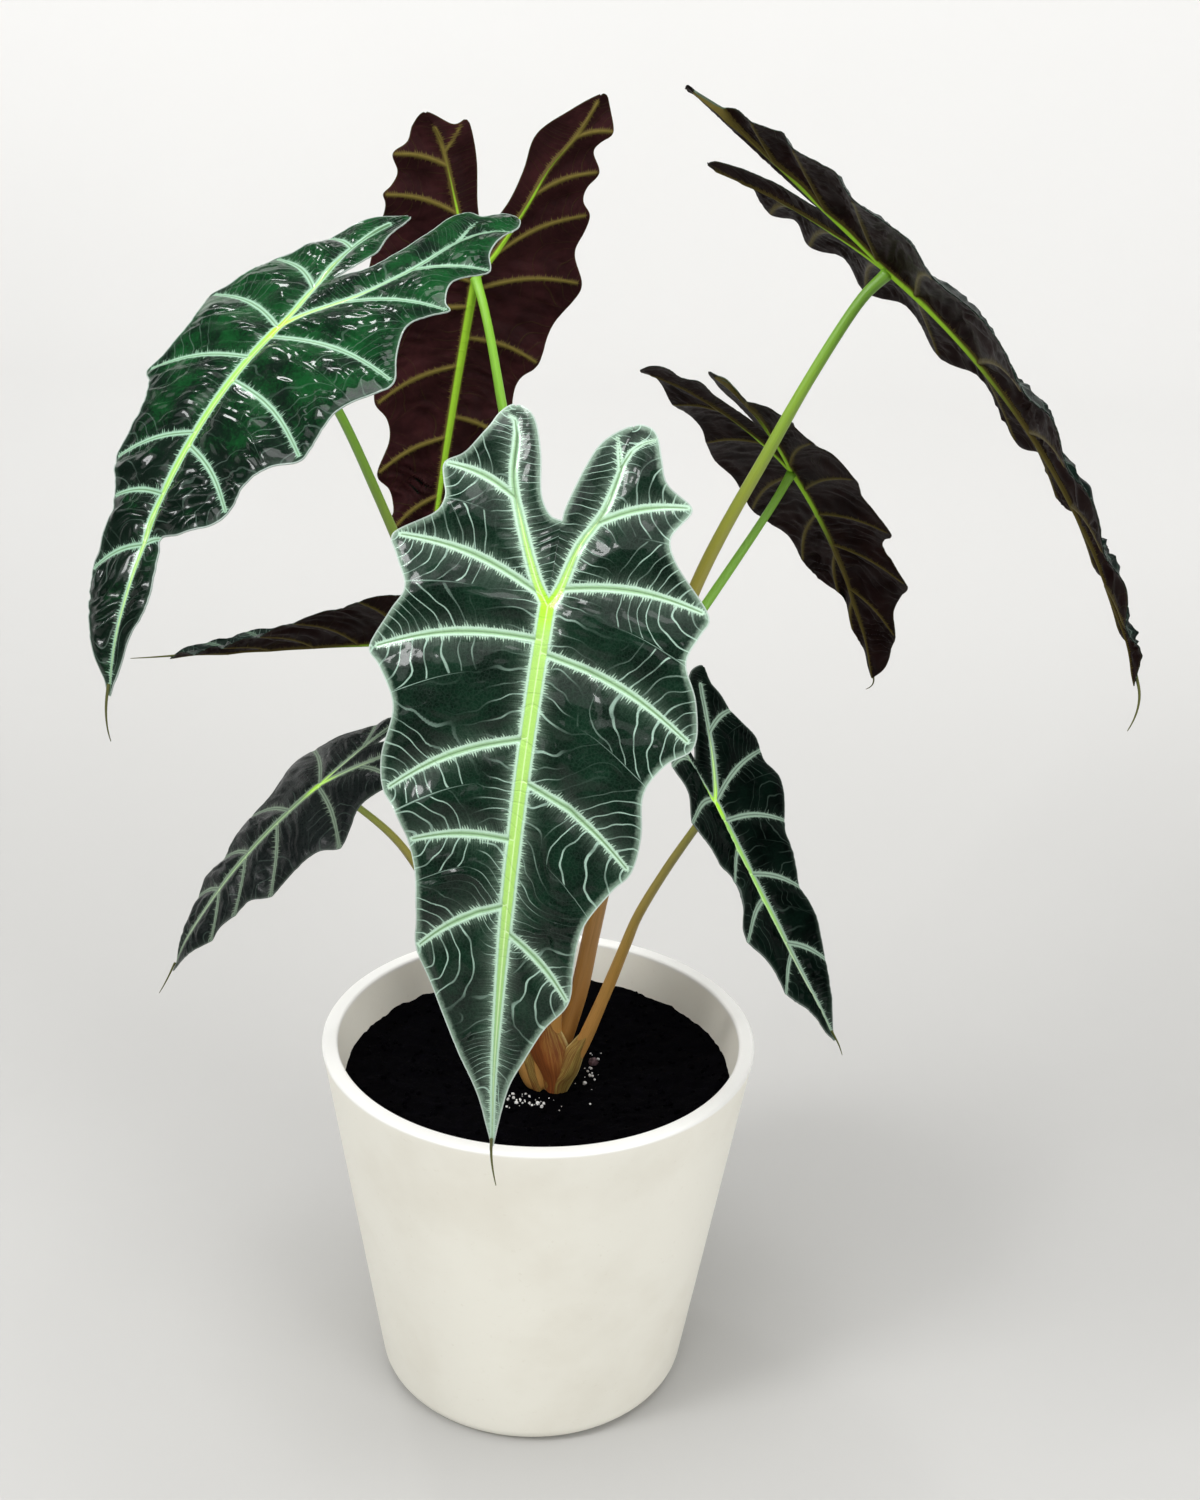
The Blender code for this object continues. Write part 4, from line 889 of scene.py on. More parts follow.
class Half:
    """One side of a blade's flat layout: its margin, its back lobe's rib and its side ribs. A
    station is a place along the midrib or, below zero, out along the lobe's rib. A mark is a
    place along the margin, in steps."""

    def __init__(self, leaf, side, lobe, rows):
        self.side = side
        self.notch = leaf.notch
        ribs = self.draw_margin(leaf, rows)
        lobe_rib = min(ribs)
        self.draw_lobe(lobe, lobe_rib[1])
        lobe_end = (-self.rib_length, lobe_rib[1])
        tip = (leaf.point, len(self.margin) - 1)
        self.outer = [lobe_end, *ribs[ribs.index(lobe_rib) + 1:], tip]
        self.inner = [lobe_end, (-self.notch_foot, 0)]

    def draw_margin(self, leaf, rows):
        """Lays even points along the margin and gives each rib's foot and mark."""
        stops = [(0.0, -leaf.notch), *rows, (MARGIN_TIP, leaf.point)]
        path, ends = [np.array(stops[0], float)], {}
        for before, stop in zip(stops, stops[1:]):
            start, end = path[-1], np.array(stop[-2:], float)
            chord = end - start
            bare = len(before) == 3 and len(stop) == 3
            if bare and np.linalg.norm(chord) > LONG_BAY * leaf.size:
                inward = np.array((-chord[1], chord[0]))
                path += [start + along * chord + into * inward for along, into in BAY_SHAPE]
            if len(stop) == 3:
                ends[len(path)] = stop[0]
            path.append(end)
        path = smooth_path(path, MARGIN_STEPS)
        lengths = lengths_along(path)
        count = int(lengths[-1] / MARGIN_STEP)
        even = np.linspace(0.0, lengths[-1], count + 1)
        margin = np.stack([np.interp(even, lengths, path[:, i]) for i in range(2)], 1)
        for _ in range(MARGIN_ROUNDS):
            margin[1:-1] = 0.25 * margin[:-2] + 0.5 * margin[1:-1] + 0.25 * margin[2:]
        self.margin = margin
        return [(foot, int(round(lengths[i * MARGIN_STEPS] / lengths[-1] * count)))
                for i, foot in ends.items()]

    def draw_lobe(self, lobe, mark):
        """The back lobe's rib, from the hub out to the margin at the lobe's tip."""
        self.rib = smooth_path([(0.0, 0.0), *lobe, self.margin[mark]], RIB_STEPS)
        self.drawn_rib = self.rib[:-RIB_STEPS]
        self.rib_steps = lengths_along(self.rib)
        self.rib_length = self.rib_steps[-1]
        way = np.array(lobe[-1], float)
        self.lobe_way = way / np.linalg.norm(way)
        self.notch_foot = self.notch * -self.lobe_way[1]

    def split_panels(self, rng):
        """Sets where each panel's seam lies between its two ribs."""
        self.seams = [a[0] + (b[0] - a[0]) * rng.uniform(*SEAM_SHARE)
                      for a, b in zip(self.outer, self.outer[1:])]

    def spine(self, station):
        """The place of a station."""
        if station >= 0:
            return np.array((0.0, station))
        return np.array([np.interp(-station, self.rib_steps, self.rib[:, i]) for i in range(2)])

    def on_margin(self, mark):
        """The place of a mark, which may lie between two points."""
        low = int(min(max(mark, 0), len(self.margin) - 2))
        return self.margin[low] + (self.margin[low + 1] - self.margin[low]) * (mark - low)

    def mark_at(self, keys, station):
        """The mark that a station's column ends at. Keys are known stations and their marks."""
        return np.interp(station, [k for k, _ in keys], [m for _, m in keys])

    def span(self, keys, a, b):
        """The length of margin between two stations."""
        return abs(self.mark_at(keys, b) - self.mark_at(keys, a)) * MARGIN_STEP

    def column(self, foot, end, sag, cells):
        """Points from the spine out to the margin."""
        t = crowd(np.linspace(0.0, 1.0, cells + 1), COLUMN_CROWD)
        chord = end - foot
        outward = np.array((chord[1], -chord[0]))
        return foot + np.outer(t, chord) + np.outer(np.sin(np.pi * t), outward * sag)

    def outer_column(self, station, cells):
        end = self.on_margin(self.mark_at(self.outer, station))
        return self.column(self.spine(station), end, VEIN_SAG, cells)

    def inner_column(self, station, cells):
        """From the lobe's rib to the lobe's inner margin, or near the hub to the middle."""
        if station >= -self.notch_foot:
            end = np.array((0.0, self.notch * station / self.notch_foot))
        else:
            end = self.on_margin(self.mark_at(self.inner, station))
        return self.column(self.spine(station), end, 0.0, cells)

    def rib_column(self, station, mark):
        return self.column(self.spine(station), self.margin[mark], VEIN_SAG, RIB_CELLS)


def fill(keys, steps_between):
    """Adds stations between keys, closer near the keys."""
    stations = [keys[0]]
    for a, b in zip(keys, keys[1:]):
        steps = steps_between(a, b)
        stations.extend(a + (b - a) * crowd(np.arange(1, steps + 1) / steps, STATION_CROWD))
    return stations


class Layout:
    """The flat blade as grids: points, faces and what the skin has to know at each point."""

    def __init__(self):
        self.grids, self.facts, self.faces = [], [], []
        self.count = 0

    def grid(self, columns, facts, side, flip):
        """Columns are rows of points; facts are as many numbers for each point."""
        across, down = len(columns), len(columns[0])
        self.grids.append(columns.reshape(-1, 2) * (side, 1.0))
        self.facts.append(facts.reshape(across * down, -1))
        for c in range(across - 1):
            for r in range(down - 1):
                a = self.count + c * down + r
                quad = (a, a + 1, a + down + 1, a + down)
                self.faces.append(quad[::-1] if flip else quad)
        self.count += across * down


def depths(columns):
    """How far down its column each point lies."""
    run = np.linalg.norm(np.diff(columns, axis=1), axis=2)
    return np.concatenate([np.zeros((len(columns), 1)), np.cumsum(run, axis=1)], axis=1)


def outer_facts(leaf, half, columns, stations, panel, late):
    """What the skin has to know on the half of a panel that lies at its first rib or, if late,
    at its second: arcs round that rib's end, lines off the midrib and how far the seam is."""
    a, b = half.outer[panel], half.outer[panel + 1]
    own = b if late else a
    t = (stations - a[0]) / (b[0] - a[0])
    seam_share = (half.seams[panel] - a[0]) / (b[0] - a[0])
    deep = depths(columns)
    down = deep / deep[:, -1:]
    gap = (b[0] - a[0]) * (1 - down) + abs(b[1] - a[1]) * MARGIN_STEP * down
    end = half.margin[own[1]]
    arc_far = np.linalg.norm(columns - end, axis=2)
    if own is half.outer[0]:
        rib_length = LOBE_ARCS * leaf.size
    elif own is half.outer[-1]:
        rib_length = TIP_ARCS
    else:
        rib_length = np.linalg.norm(end - half.spine(own[0]))
    seam_far = np.abs(t - seam_share)[:, None] * gap
    rib_far = (1 - t if late else t)[:, None] * gap
    along = columns[..., 1] - LINE_BOW / leaf.size * columns[..., 0] ** 2
    lobe = -(columns @ half.lobe_way) * LOBE_LINES
    if a[0] < 0 < b[0]:
        front = np.clip(stations / HUB_BLEND + 0.5, 0.0, 1.0)[:, None]
    else:
        front = float(a[0] >= 0)
    off_midrib = lobe * (1 - front) + along * front
    hair = np.where(deep < rib_far, off_midrib, arc_far)
    wave = -np.cos(2 * np.pi * t)[:, None] * np.ones_like(deep)
    arcs = arc_far * (1.0 if a[0] >= 0 else LOBE_ARC_LINES)
    return np.stack([arcs, off_midrib, seam_far, arc_far / (ARC_REACH * rib_length), deep, hair,
                     wave], axis=2)


def inner_facts(half, columns):
    """The same for the inner half of a back lobe, which has lines off its rib and no arcs."""
    deep = depths(columns)
    off = -(columns @ half.lobe_way)
    far = np.full_like(deep, FAR)
    wave = -near(deep, 5.0)
    return np.stack([far, off * 2.0 + 0.15 * deep, far, far, 0.3 * deep, off, wave], axis=2)


def lay_out(leaf, rng):
    """Lays both halves of a blade out in grids that share their stations along the middle.
    Smaller blades have smaller cells and fewer of them."""
    halves = [Half(leaf, side, lobe, rows) for side, lobe, rows in leaf.sides]
    cell = CELL * (0.55 + 0.45 * leaf.size)
    cells = max(20, int(COLUMN_CELLS * (0.35 + 0.65 * leaf.size)))
    inner_cells = max(10, int(INNER_CELLS * (0.4 + 0.6 * leaf.size)))
    middle, shares = {0.0, leaf.point}, {0.0, 1.0}
    for half in halves:
        half.split_panels(rng)
        keys = [k for k, _ in half.outer] + half.seams
        middle.update(k for k in keys if k > 0)
        shares.update(-k / half.notch_foot for k in keys if -half.notch_foot < k < 0)

    def steps_for(lengths):
        return max(1, math.ceil(max(lengths) / cell))

    def middle_steps(a, b):
        return steps_for([b - a] + [half.span(half.outer, a, b) for half in halves])

    def share_steps(a, b):
        feet = [half.notch_foot for half in halves]
        spans = [half.span(half.outer, -b * foot, -a * foot) for half, foot in zip(halves, feet)]
        return steps_for([(b - a) * foot for foot in feet] + spans)

    def lobe_stations(half):
        def lobe_steps(a, b):
            return steps_for([b - a, half.span(half.outer, a, b), half.span(half.inner, a, b)])

        keys = {k for k, _ in half.outer + half.inner}.union(half.seams)
        beyond = fill(sorted(k for k in keys if k <= -half.notch_foot), lobe_steps)
        return beyond[:-1] + [-share * half.notch_foot for share in reversed(shares)]

    middle = fill(sorted(middle), middle_steps)
    shares = fill(sorted(shares), share_steps)
    layout = Layout()
    for half in halves:
        lobe = lobe_stations(half)
        stations = np.array(lobe + middle[1:])
        columns = np.array([half.outer_column(station, cells) for station in stations])
        for panel, (a, b) in enumerate(zip(half.outer, half.outer[1:])):
            seam = half.seams[panel]
            for low, high, late in ((a[0], seam, False), (seam, b[0], True)):
                own = (stations >= low - NEAR) & (stations <= high + NEAR)
                facts = outer_facts(leaf, half, columns[own], stations[own], panel, late)
                layout.grid(columns[own], facts, half.side, half.side < 0)
        columns = np.array([half.inner_column(station, inner_cells) for station in lobe])
        layout.grid(columns, inner_facts(half, columns), half.side, half.side > 0)
    return halves, layout


def merge(points, faces):
    """Joins points that lie on each other and drops what collapses. Each face keeps the number of
    its joined points and of the points it was laid out with."""
    key = np.round(points, JOIN_DIGITS) + 0.0
    _, first, same = np.unique(key, axis=0, return_index=True, return_inverse=True)
    same = same.ravel()
    joined, laid = [], []
    for face in faces:
        ring, source = [], []
        for i in face:
            if same[i] not in ring:
                ring.append(int(same[i]))
                source.append(i)
        if len(ring) > 2:
            joined.append(ring)
            laid.append(source)
    return first, joined, laid


def drawn_veins(leaf, halves):
    """The path of each rib that is drawn, and what it is like."""
    midrib = np.array([[0.0, 0.0], [0.0, leaf.length * 0.5], [0.0, leaf.point]])
    veins = [(midrib, MIDRIB)]
    for half in halves:
        turn = np.array((half.side, 1.0))
        veins.append((half.drawn_rib * turn, LOBE_RIB))
        for foot, mark in half.outer[1:-1]:
            path = half.rib_column(foot, mark) * turn
            veins.append((path[:-1] if leaf.size > SMALL_BLADE else path, SIDE_RIB))
    return veins + [(np.array(twig, float), TWIG) for twig in leaf.twigs]


def vein_fields(leaf, halves, flat):
    """Distance from the pale bands, from the nearest rib and from the lime core, the relief that
    the ribs make on the underside, and the weight of the nearest rib."""
    wide = leaf.size ** 0.45 * leaf.slim
    edge, centre, lime = (np.full(len(flat), VERY_FAR) for _ in range(3))
    ridge, main = np.zeros(len(flat)), np.zeros(len(flat))
    for path, (band, core, height, weight) in drawn_veins(leaf, halves):
        far, share = distance_to(flat, path)
        band, core, height = (np.interp(share, (0.0, 0.5, 1.0), sizes)
                              for sizes in (band, core, height))
        main = np.where(far - band * wide < edge, weight, main)
        edge = np.minimum(edge, far - band * wide)
        centre = np.minimum(centre, far)
        lime = np.minimum(lime, far - core * wide)
        half_width = (0.9 * band + 0.3) * wide
        bulge = np.sqrt(np.clip(1 - (far / half_width) ** 2, 0, 1))
        ridge = np.maximum(ridge, height * wide * bulge)
    return edge, centre, lime, ridge, main


def near(distance, reach):
    """From 1 where the distance is nothing down to 0 well beyond the reach."""
    return np.exp(-(distance / reach) ** 2)


def wander(flat, size, seed):
    """A smooth random number at each point, with lumps of about this size."""
    return np.array([noise.noise(Vector((x / size, y / size, seed))) for x, y in flat])


def warp_lines(leaf, points, facts, seed):
    """Counts the fine veins instead of millimetres, and lets them wander."""
    warp = wander(points, 14.0, seed * 0.37) + 0.35 * wander(points, 5.0, seed * 0.11)
    stretch = 1.0 + 0.35 * wander(points, 30.0, seed * 0.19)
    spacing = LINE_SPACING * leaf.size ** 0.6
    facts[:, ARCS] = (facts[:, ARCS] * stretch + 3.2 * warp) / spacing
    facts[:, LINES] = (facts[:, LINES] * stretch + 3.6 * warp) / spacing


def relief(leaf, look, seed, flat, own, edge, centre, rim):
    """Lift of the upper face: swollen panels, creases at the fine veins, wrinkles, the margin's
    waves, the groove of the midrib and the dents beside it."""
    size = leaf.size
    crease_share, wrinkle_share = CALM if leaf.finish == "satin" else CRINKLED
    between = 1.0 - near(centre, PUFF_REACH * size)
    inside = 1.0 - 0.7 * near(rim, RIM_FLAT * size)
    lift = look.puff / MM * size * between * inside
    clear = 1.0 - near(np.maximum(edge, 0.0), 2.0)
    clear *= 1.0 - 0.75 * near(rim, 3.0)
    arcs, lines = (np.abs(np.sin(np.pi * own[:, fact])) ** 0.6 for fact in (ARCS, LINES))
    outer = np.clip((1.1 - own[:, REACH]) / 0.2, 0.0, 1.0)
    crease = outer * arcs + (1 - outer) * lines - 0.6
    crease *= 1.0 - 0.9 * near(own[:, SEAM], 1.5)
    lumps = wander(flat, 9.0, seed * 0.71)
    wrinkle = np.array([noise.noise(Vector((off * 1.3, deep / 11.0, seed * 0.53)))
                        for off, deep in zip(own[:, LINES], own[:, DEEP])])
    tipward = 0.5 + 1.2 * np.clip(flat[:, 1] / leaf.length, 0.0, 0.6) / 0.6
    strength = look.pucker / MM * size * crease_share
    lift += clear * (strength * crease * (0.5 + np.abs(lumps)) + 0.7 * lumps * size
                     + wrinkle_share * look.wrinkle / MM * wrinkle * size * tipward)
    lift += look.wave / MM * size * own[:, WAVE] * np.exp(-rim / (WAVE_REACH * size))
    lift -= MIDRIB_GROOVE * near(centre, 1.2)
    for x, y, half_long, half_wide in leaf.dents:
        u = ((flat[:, 1] - y) - 0.25 * (flat[:, 0] - x)) / half_long
        v = ((flat[:, 0] - x) + 0.25 * (flat[:, 1] - y) + 0.8 * lumps) / half_wide
        lift -= DENT_DEPTH * np.exp(-u ** 2 - v ** 2)
    return lift


def close_blade(faces, laid, count):
    """The faces below and round the rim, and the laid-out point behind each corner of them all."""
    ways = {}
    for face, source in zip(faces, laid):
        ring = list(zip(face, source))
        for (a, x), (b, y) in zip(ring, ring[1:] + ring[:1]):
            ways[a, b] = (x, y)
    border = [(pair, ends) for pair, ends in ways.items() if pair[::-1] not in ways]
    below = [[i + count for i in reversed(face)] for face in faces]
    side = [[b, a, a + count, b + count] for (a, b), _ in border]
    sources = [i for source in laid for i in source]
    sources += [i for source in laid for i in reversed(source)]
    sources += [i for _, (x, y) in border for i in (y, x, x, y)]
    return below, side, sources


def store(mesh, name, rows, domain="POINT"):
    """Keeps three numbers for each point or each corner of a mesh."""
    data = mesh.attributes.new(name, "FLOAT_VECTOR", domain).data
    data.foreach_set("vector", np.asarray(rows, np.float32).ravel())


def build_blade(leaf, look, upper, under):
    """A blade with swollen panels, creased fine veins, a waved margin and raised ribs below."""
    seed = sum(ord(letter) * place for place, letter in enumerate(leaf.name, 1))
    halves, layout = lay_out(leaf, np.random.default_rng(seed))
    points, facts = np.concatenate(layout.grids), np.concatenate(layout.facts)
    warp_lines(leaf, points, facts, seed)
    first, faces, laid = merge(points, layout.faces)
    flat, own = points[first], facts[first]
    count = len(flat)
    edge, centre, lime, ridge, main = vein_fields(leaf, halves, flat)
    rim = np.full(count, VERY_FAR)
    for half in halves:
        rim = np.minimum(rim, distance_to(flat, half.margin * np.array((half.side, 1.0)))[0])
    lift = relief(leaf, look, seed, flat, own, edge, centre, rim)
    thin, full = WEB_RIM
    web = look.web / MM * (thin + (1.0 - thin) * np.clip(rim / full, 0.0, 1.0))
    thin, full = RIDGE_RIM
    ridge = ridge * np.clip(rim / full, thin, 1.0)
    top = bent(leaf, flat[:, 0], flat[:, 1], lift)
    low = bent(leaf, flat[:, 0], flat[:, 1], lift - web - ridge)
    below, side, sources = close_blade(faces, laid, count)
    thread, thread_faces, thread_flat = drip_thread(leaf, 2 * count)
    mesh = bpy.data.meshes.new("leaf_" + leaf.name)
    mesh.from_pydata(np.concatenate([top, low, thread]).tolist(), [],
                     faces + below + side + thread_faces)
    mesh.materials.append(upper)
    mesh.materials.append(under)
    kinds = [0] * len(faces) + [1] * len(below) + [0] * (len(side) + len(thread_faces))
    mesh.polygons.foreach_set("material_index", kinds)

    def at_points(name, *columns):
        """A column is the numbers of the blade's points and the number of its drip thread."""
        store(mesh, name, np.stack([np.r_[values, values, np.full(len(thread), at_thread)]
                                    for values, at_thread in columns], 1))

    def at_corners(name, *picks):
        """Picks are which of the laid-out facts to keep."""
        rows = np.full((len(mesh.loops), len(picks)), FAR)
        rows[:len(sources)] = facts[sources][:, picks]
        store(mesh, name, rows, "CORNER")

    none = np.zeros(count)
    at_points("vein", (edge, 3.0), (centre, 3.0), (lime, 3.0))
    at_points("rim", (rim, 4.0), (none + seed % 97, 0.0), (none, 1.0))
    at_points("rib", (main, 0.0), (flat[:, 1] / leaf.length, 1.0), (none, 0.0))
    at_points("flat", (flat[:, 0], 0.0), (flat[:, 1], leaf.length), (none, 0.0))
    at_corners("lines", ARCS, LINES, SEAM)
    at_corners("reach", REACH, DEEP, HAIR)
    lay_uvs(mesh, leaf, flat, thread_flat)
    mesh.shade_smooth()
    mesh.set_sharp_from_angle(angle=math.radians(60))
    blade = bpy.data.objects.new("leaf_" + leaf.name, mesh)
    bpy.context.scene.collection.objects.link(blade)
    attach(blade, "root")
    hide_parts("blade_" + leaf.name)


def drip_thread(leaf, start):
    """The drip thread: a taper that leaves the tip and curls."""
    t = np.linspace(0.0, 1.0, THREAD_RINGS)
    y = leaf.point - THREAD_ROOT + (leaf.thread + THREAD_ROOT) * t
    curl = np.clip((y - leaf.point) / leaf.thread, 0.0, 1.0) ** 2
    core = bent(leaf, leaf.curl[0] * curl, y, leaf.curl[1] * curl - THREAD_SUNK)
    ways = np.gradient(core, axis=0)
    ways /= np.linalg.norm(ways, axis=1)[:, None]
    end, more = THREAD_RADIUS
    radius = (more * (1 - t) ** 0.8 + end) * (0.5 + 0.5 * leaf.size) * MM
    verts = []
    for p, way, r in zip(core, ways, radius):
        a = np.cross(way, leaf.face)
        a /= np.linalg.norm(a)
        b = np.cross(way, a)
        verts += [p + r * (a * math.cos(turn) + b * math.sin(turn)) for turn in around(THREAD_SIDES)]
    flat = np.repeat(np.stack([np.zeros(THREAD_RINGS), y], 1), THREAD_SIDES, 0)
    flat[:, 0] = np.tile(np.linspace(-1.0, 1.0, THREAD_SIDES), THREAD_RINGS)
    return np.array(verts), tube_faces(THREAD_RINGS, THREAD_SIDES, start), flat


def lay_uvs(mesh, leaf, flat, thread_flat):
    """The bake layout: the upper face on the left half, the lower face on the right half."""
    low, high = flat.min(0) - 2.0, flat.max(0) + np.array((2.0, leaf.thread + 4.0))
    place = (np.concatenate([flat, flat, thread_flat]) - low) / (high - low)
    place[:, 0] = 0.004 + place[:, 0] * 0.488
    place[len(flat):2 * len(flat), 0] += 0.5
    loops = np.zeros(len(mesh.loops), np.int32)
    mesh.loops.foreach_get("vertex_index", loops)
    mesh.uv_layers.new(name="OFBake").data.foreach_set("uv", place[loops].astype(np.float32).ravel())


# Stalks, crown, pot and soil

def around(steps):
    """The angles of so many even steps round a circle."""
    return [2 * math.pi * k / steps for k in range(steps)]


def circle(radius, z, steps, x=0.0, y=0.0):
    """A level ring of points about (x, y)."""
    return [(x + radius * math.cos(turn), y + radius * math.sin(turn), z) for turn in around(steps)]


def ring_faces(rings, sides, start=0):
    """Faces between rings of points that are listed one after another."""
    faces = []
    for low in range(start, start + (rings - 1) * sides, sides):
        for k in range(sides):
            n = (k + 1) % sides
            faces.append([low + k, low + n, low + sides + n, low + sides + k])
    return faces


def tube_faces(rings, sides, start=0):
    """The same, with a cap at each end."""
    last = start + (rings - 1) * sides
    return [*ring_faces(rings, sides, start), [start + k for k in reversed(range(sides))],
            [last + k for k in range(sides)]]


def frames(path):
    """A side way and an up way at each point, turning as little as possible along the path."""
    ways = np.gradient(path, axis=0)
    ways /= np.linalg.norm(ways, axis=1)[:, None]
    side = np.cross(ways[0], (0.0, 1.0, 0.2))
    sides = []
    for way in ways:
        side = side - way * side.dot(way)
        side = side / np.linalg.norm(side)
        sides.append(side)
    sides = np.array(sides)
    return sides, np.cross(ways, sides)


def add_piece(name, mesh, nodes):
    """Puts a mesh in the scene, in the place of the named solids."""
    piece = bpy.data.objects.new(name, mesh)
    bpy.context.scene.collection.objects.link(piece)
    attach(piece, "root")
    if nodes:
        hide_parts(*nodes)


def new_piece(name, verts, faces, material, nodes, slot):
    """A smooth piece of one material, made from its points and faces."""
    mesh = bpy.data.meshes.new(name)
    mesh.from_pydata(np.asarray(verts).tolist(), [], faces)
    mesh.materials.append(material)
    mesh.shade_smooth()
    add_piece(name, mesh, nodes)
    return mesh


def face_outward(mesh):
    """Turns every face outward and keeps the edges of the form crisp."""
    bm = bmesh.new()
    bm.from_mesh(mesh)
    bmesh.ops.recalc_face_normals(bm, faces=bm.faces)
    bm.to_mesh(mesh)
    bm.free()
    mesh.set_sharp_from_angle(angle=math.radians(50))


def stalk_finish(look):
    """Lime at the top, olive halfway and brown at the foot, with fine streaks along the stalk."""
    nodes = Nodes("stalk_skin")
    climb, brown, turn = nodes.split(nodes.attribute("climb"))
    streaks = nodes.vector(nodes.times(climb, 2.0), nodes.times(turn, 9.0))
    streaks = nodes.noise(streaks, 6.0, 4.0, 0.6)
    share = nodes.math("DIVIDE", climb, nodes.highest(brown, 0.05))
    share = nodes.plus(share, nodes.times(nodes.minus(streaks, 0.5), 0.35))
    base = nodes.mix(nodes.rise(share, 0.25, 1.0), look.foot, look.middle)
    base = nodes.mix(nodes.rise(share, 0.95, 1.6), base, look.top)
    base = nodes.mix(nodes.rise(streaks, 0.45, 0.75, 0.0, 0.35), base, STALK_STREAK)
    nodes.bump(streaks, 0.4, 0.0003)
    return nodes.set(Base_Color=base, Roughness=0.36, Specular_IOR_Level=0.5)


def build_stalk(leaf, look, material):
    """A tapered, faintly ridged stalk that swells a little where it meets the blade."""
    sides = look.sides
    points = [np.array(p, float) for p in leaf.stalk]
    source = np.array((CROWN_X / MM, CROWN_Y / MM, SOIL_MIDDLE_Z / MM - STALK_SOURCE))
    start = source + (points[0] - source) * STALK_START
    points = [start, *points[:-1], leaf.hub - leaf.face * STALK_END]
    path = smooth_path(points, STALK_STEPS)
    length = lengths_along(path)
    radius = ease([leaf.radii[0] * 0.8, *leaf.radii], STALK_STEPS)
    swell, reach = STALK_SWELL
    radius = radius * (1.0 + swell * np.exp(-(length[-1] - length) / reach))
    side, up = frames(path)
    verts, climbs = [], []
    for p, r, a, b, climb in zip(path, radius, side, up, length / length[-1]):
        for k, turn in enumerate(around(sides)):
            out = r + look.ridge / MM * math.sin(STALK_RIDGES * turn)
            verts.append((p + out * (a * math.cos(turn) + b * math.sin(turn))) * MM)
            climbs.append((climb, leaf.brown, min(k, sides - k) / sides))
    mesh = new_piece("stalk_" + leaf.name, verts, tube_faces(len(path), sides), material,
                     ["petiole_" + leaf.name], "stalk_green")
    store(mesh, "climb", climbs)


@dataclass
class Sheath:
    """A dry sheath round the crown, open at the back, in millimetres."""
    rows: list            # its left and its right edge, each as x and z, from the foot up
    forward: float        # how far its edges stand forward
    bulge: float          # how far it bulges between them
    khaki: float          # its share of khaki


SHEATHS = [
    Sheath([(3.5, 139, 9, 139), (1.6, 147, 13, 148), (-2, 155.5, 14, 157), (-4.8, 162.5, 13.5, 164),
            (-5.5, 170, 11.5, 169), (-4, 176, 8.6, 175), (-1, 182, 6, 181), (2, 188, 4.6, 187)],
           forward=6, bulge=5.5, khaki=0.1),
    Sheath([(4, 139, 12.5, 139), (1.7, 147, 15.7, 146.7), (6, 151.5, 17.5, 150.5),
            (8.5, 156, 18.7, 154.5), (11.4, 163, 20.6, 163), (14.4, 167, 22, 167.5),
            (16.6, 170, 22.8, 170), (18.6, 172.5, 23.2, 172)],
           forward=7, bulge=4.5, khaki=0.85),
    Sheath([(-1, 139, 3, 139), (-4.7, 144, 2.2, 146), (-7, 149, 0.2, 151.5),
            (-8.4, 155.6, -1.4, 156.5), (-9, 162, -3.8, 163), (-8.6, 168, -6, 168)],
           forward=6, bulge=3, khaki=0.7),
]


def sheath_finish(look):
    """Dry sheath: rust to khaki, streaked along its length, with a pale edge."""
    nodes = Nodes("sheath_skin")
    khaki, side, climb = nodes.split(nodes.attribute("sheath"))
    streaks = nodes.vector(nodes.times(side, 14.0), nodes.times(climb, 2.0), khaki)
    streaks = nodes.noise(streaks, 1.6, 5.0, 0.7)
    share = nodes.plus(khaki, nodes.times(nodes.minus(streaks, 0.5), 1.6))
    share = nodes.plus(share, nodes.times(nodes.minus(climb, 0.4), 0.6))
    share = nodes.plus(share, nodes.times(nodes.minus(side, 0.45), 0.8))
    base = nodes.mix(nodes.rise(share, 0.0, 1.0), look.rust, look.khaki)
    base = nodes.mix(nodes.fall(streaks, 0.40, 0.62, 0.7), base, look.shade)
    border = nodes.math("ABSOLUTE", nodes.minus(side, 0.5))
    base = nodes.mix(nodes.rise(border, 0.42, 0.485, 0.0, 0.75), base, look.border)
    nodes.bump(streaks, 0.5, 0.0004)
    return nodes.set(Base_Color=base, Roughness=0.5, Specular_IOR_Level=0.2)


def loft_sheath(sheath):
    """A closed shell, thin at its edges: its points and what its skin has to know at each."""
    rows = smooth_path(sheath.rows, SHEATH_STEPS)
    foot = rows[0][1]
    verts, facts = [], []
    for i, (left, left_z, right, right_z) in enumerate(rows):
        for k in range(2 * SHEATH_CELLS):
            inside = k > SHEATH_CELLS
            t = 2.0 - k / SHEATH_CELLS if inside else k / SHEATH_CELLS
            bow = math.sin(math.pi * t)
            z = left_z + (right_z - left_z) * t
            depth = sheath.forward + sheath.bulge * bow - (SHEATH_WEB * bow if inside else 0.0)
            depth *= SHEATH_FOOT + (1.0 - SHEATH_FOOT) * min(1.0, (z - foot) / SHEATH_RISE)
            verts.append((left + (right - left) * t, -depth, z))
            facts.append((sheath.khaki, t, i / (len(rows) - 1)))
    return verts, facts


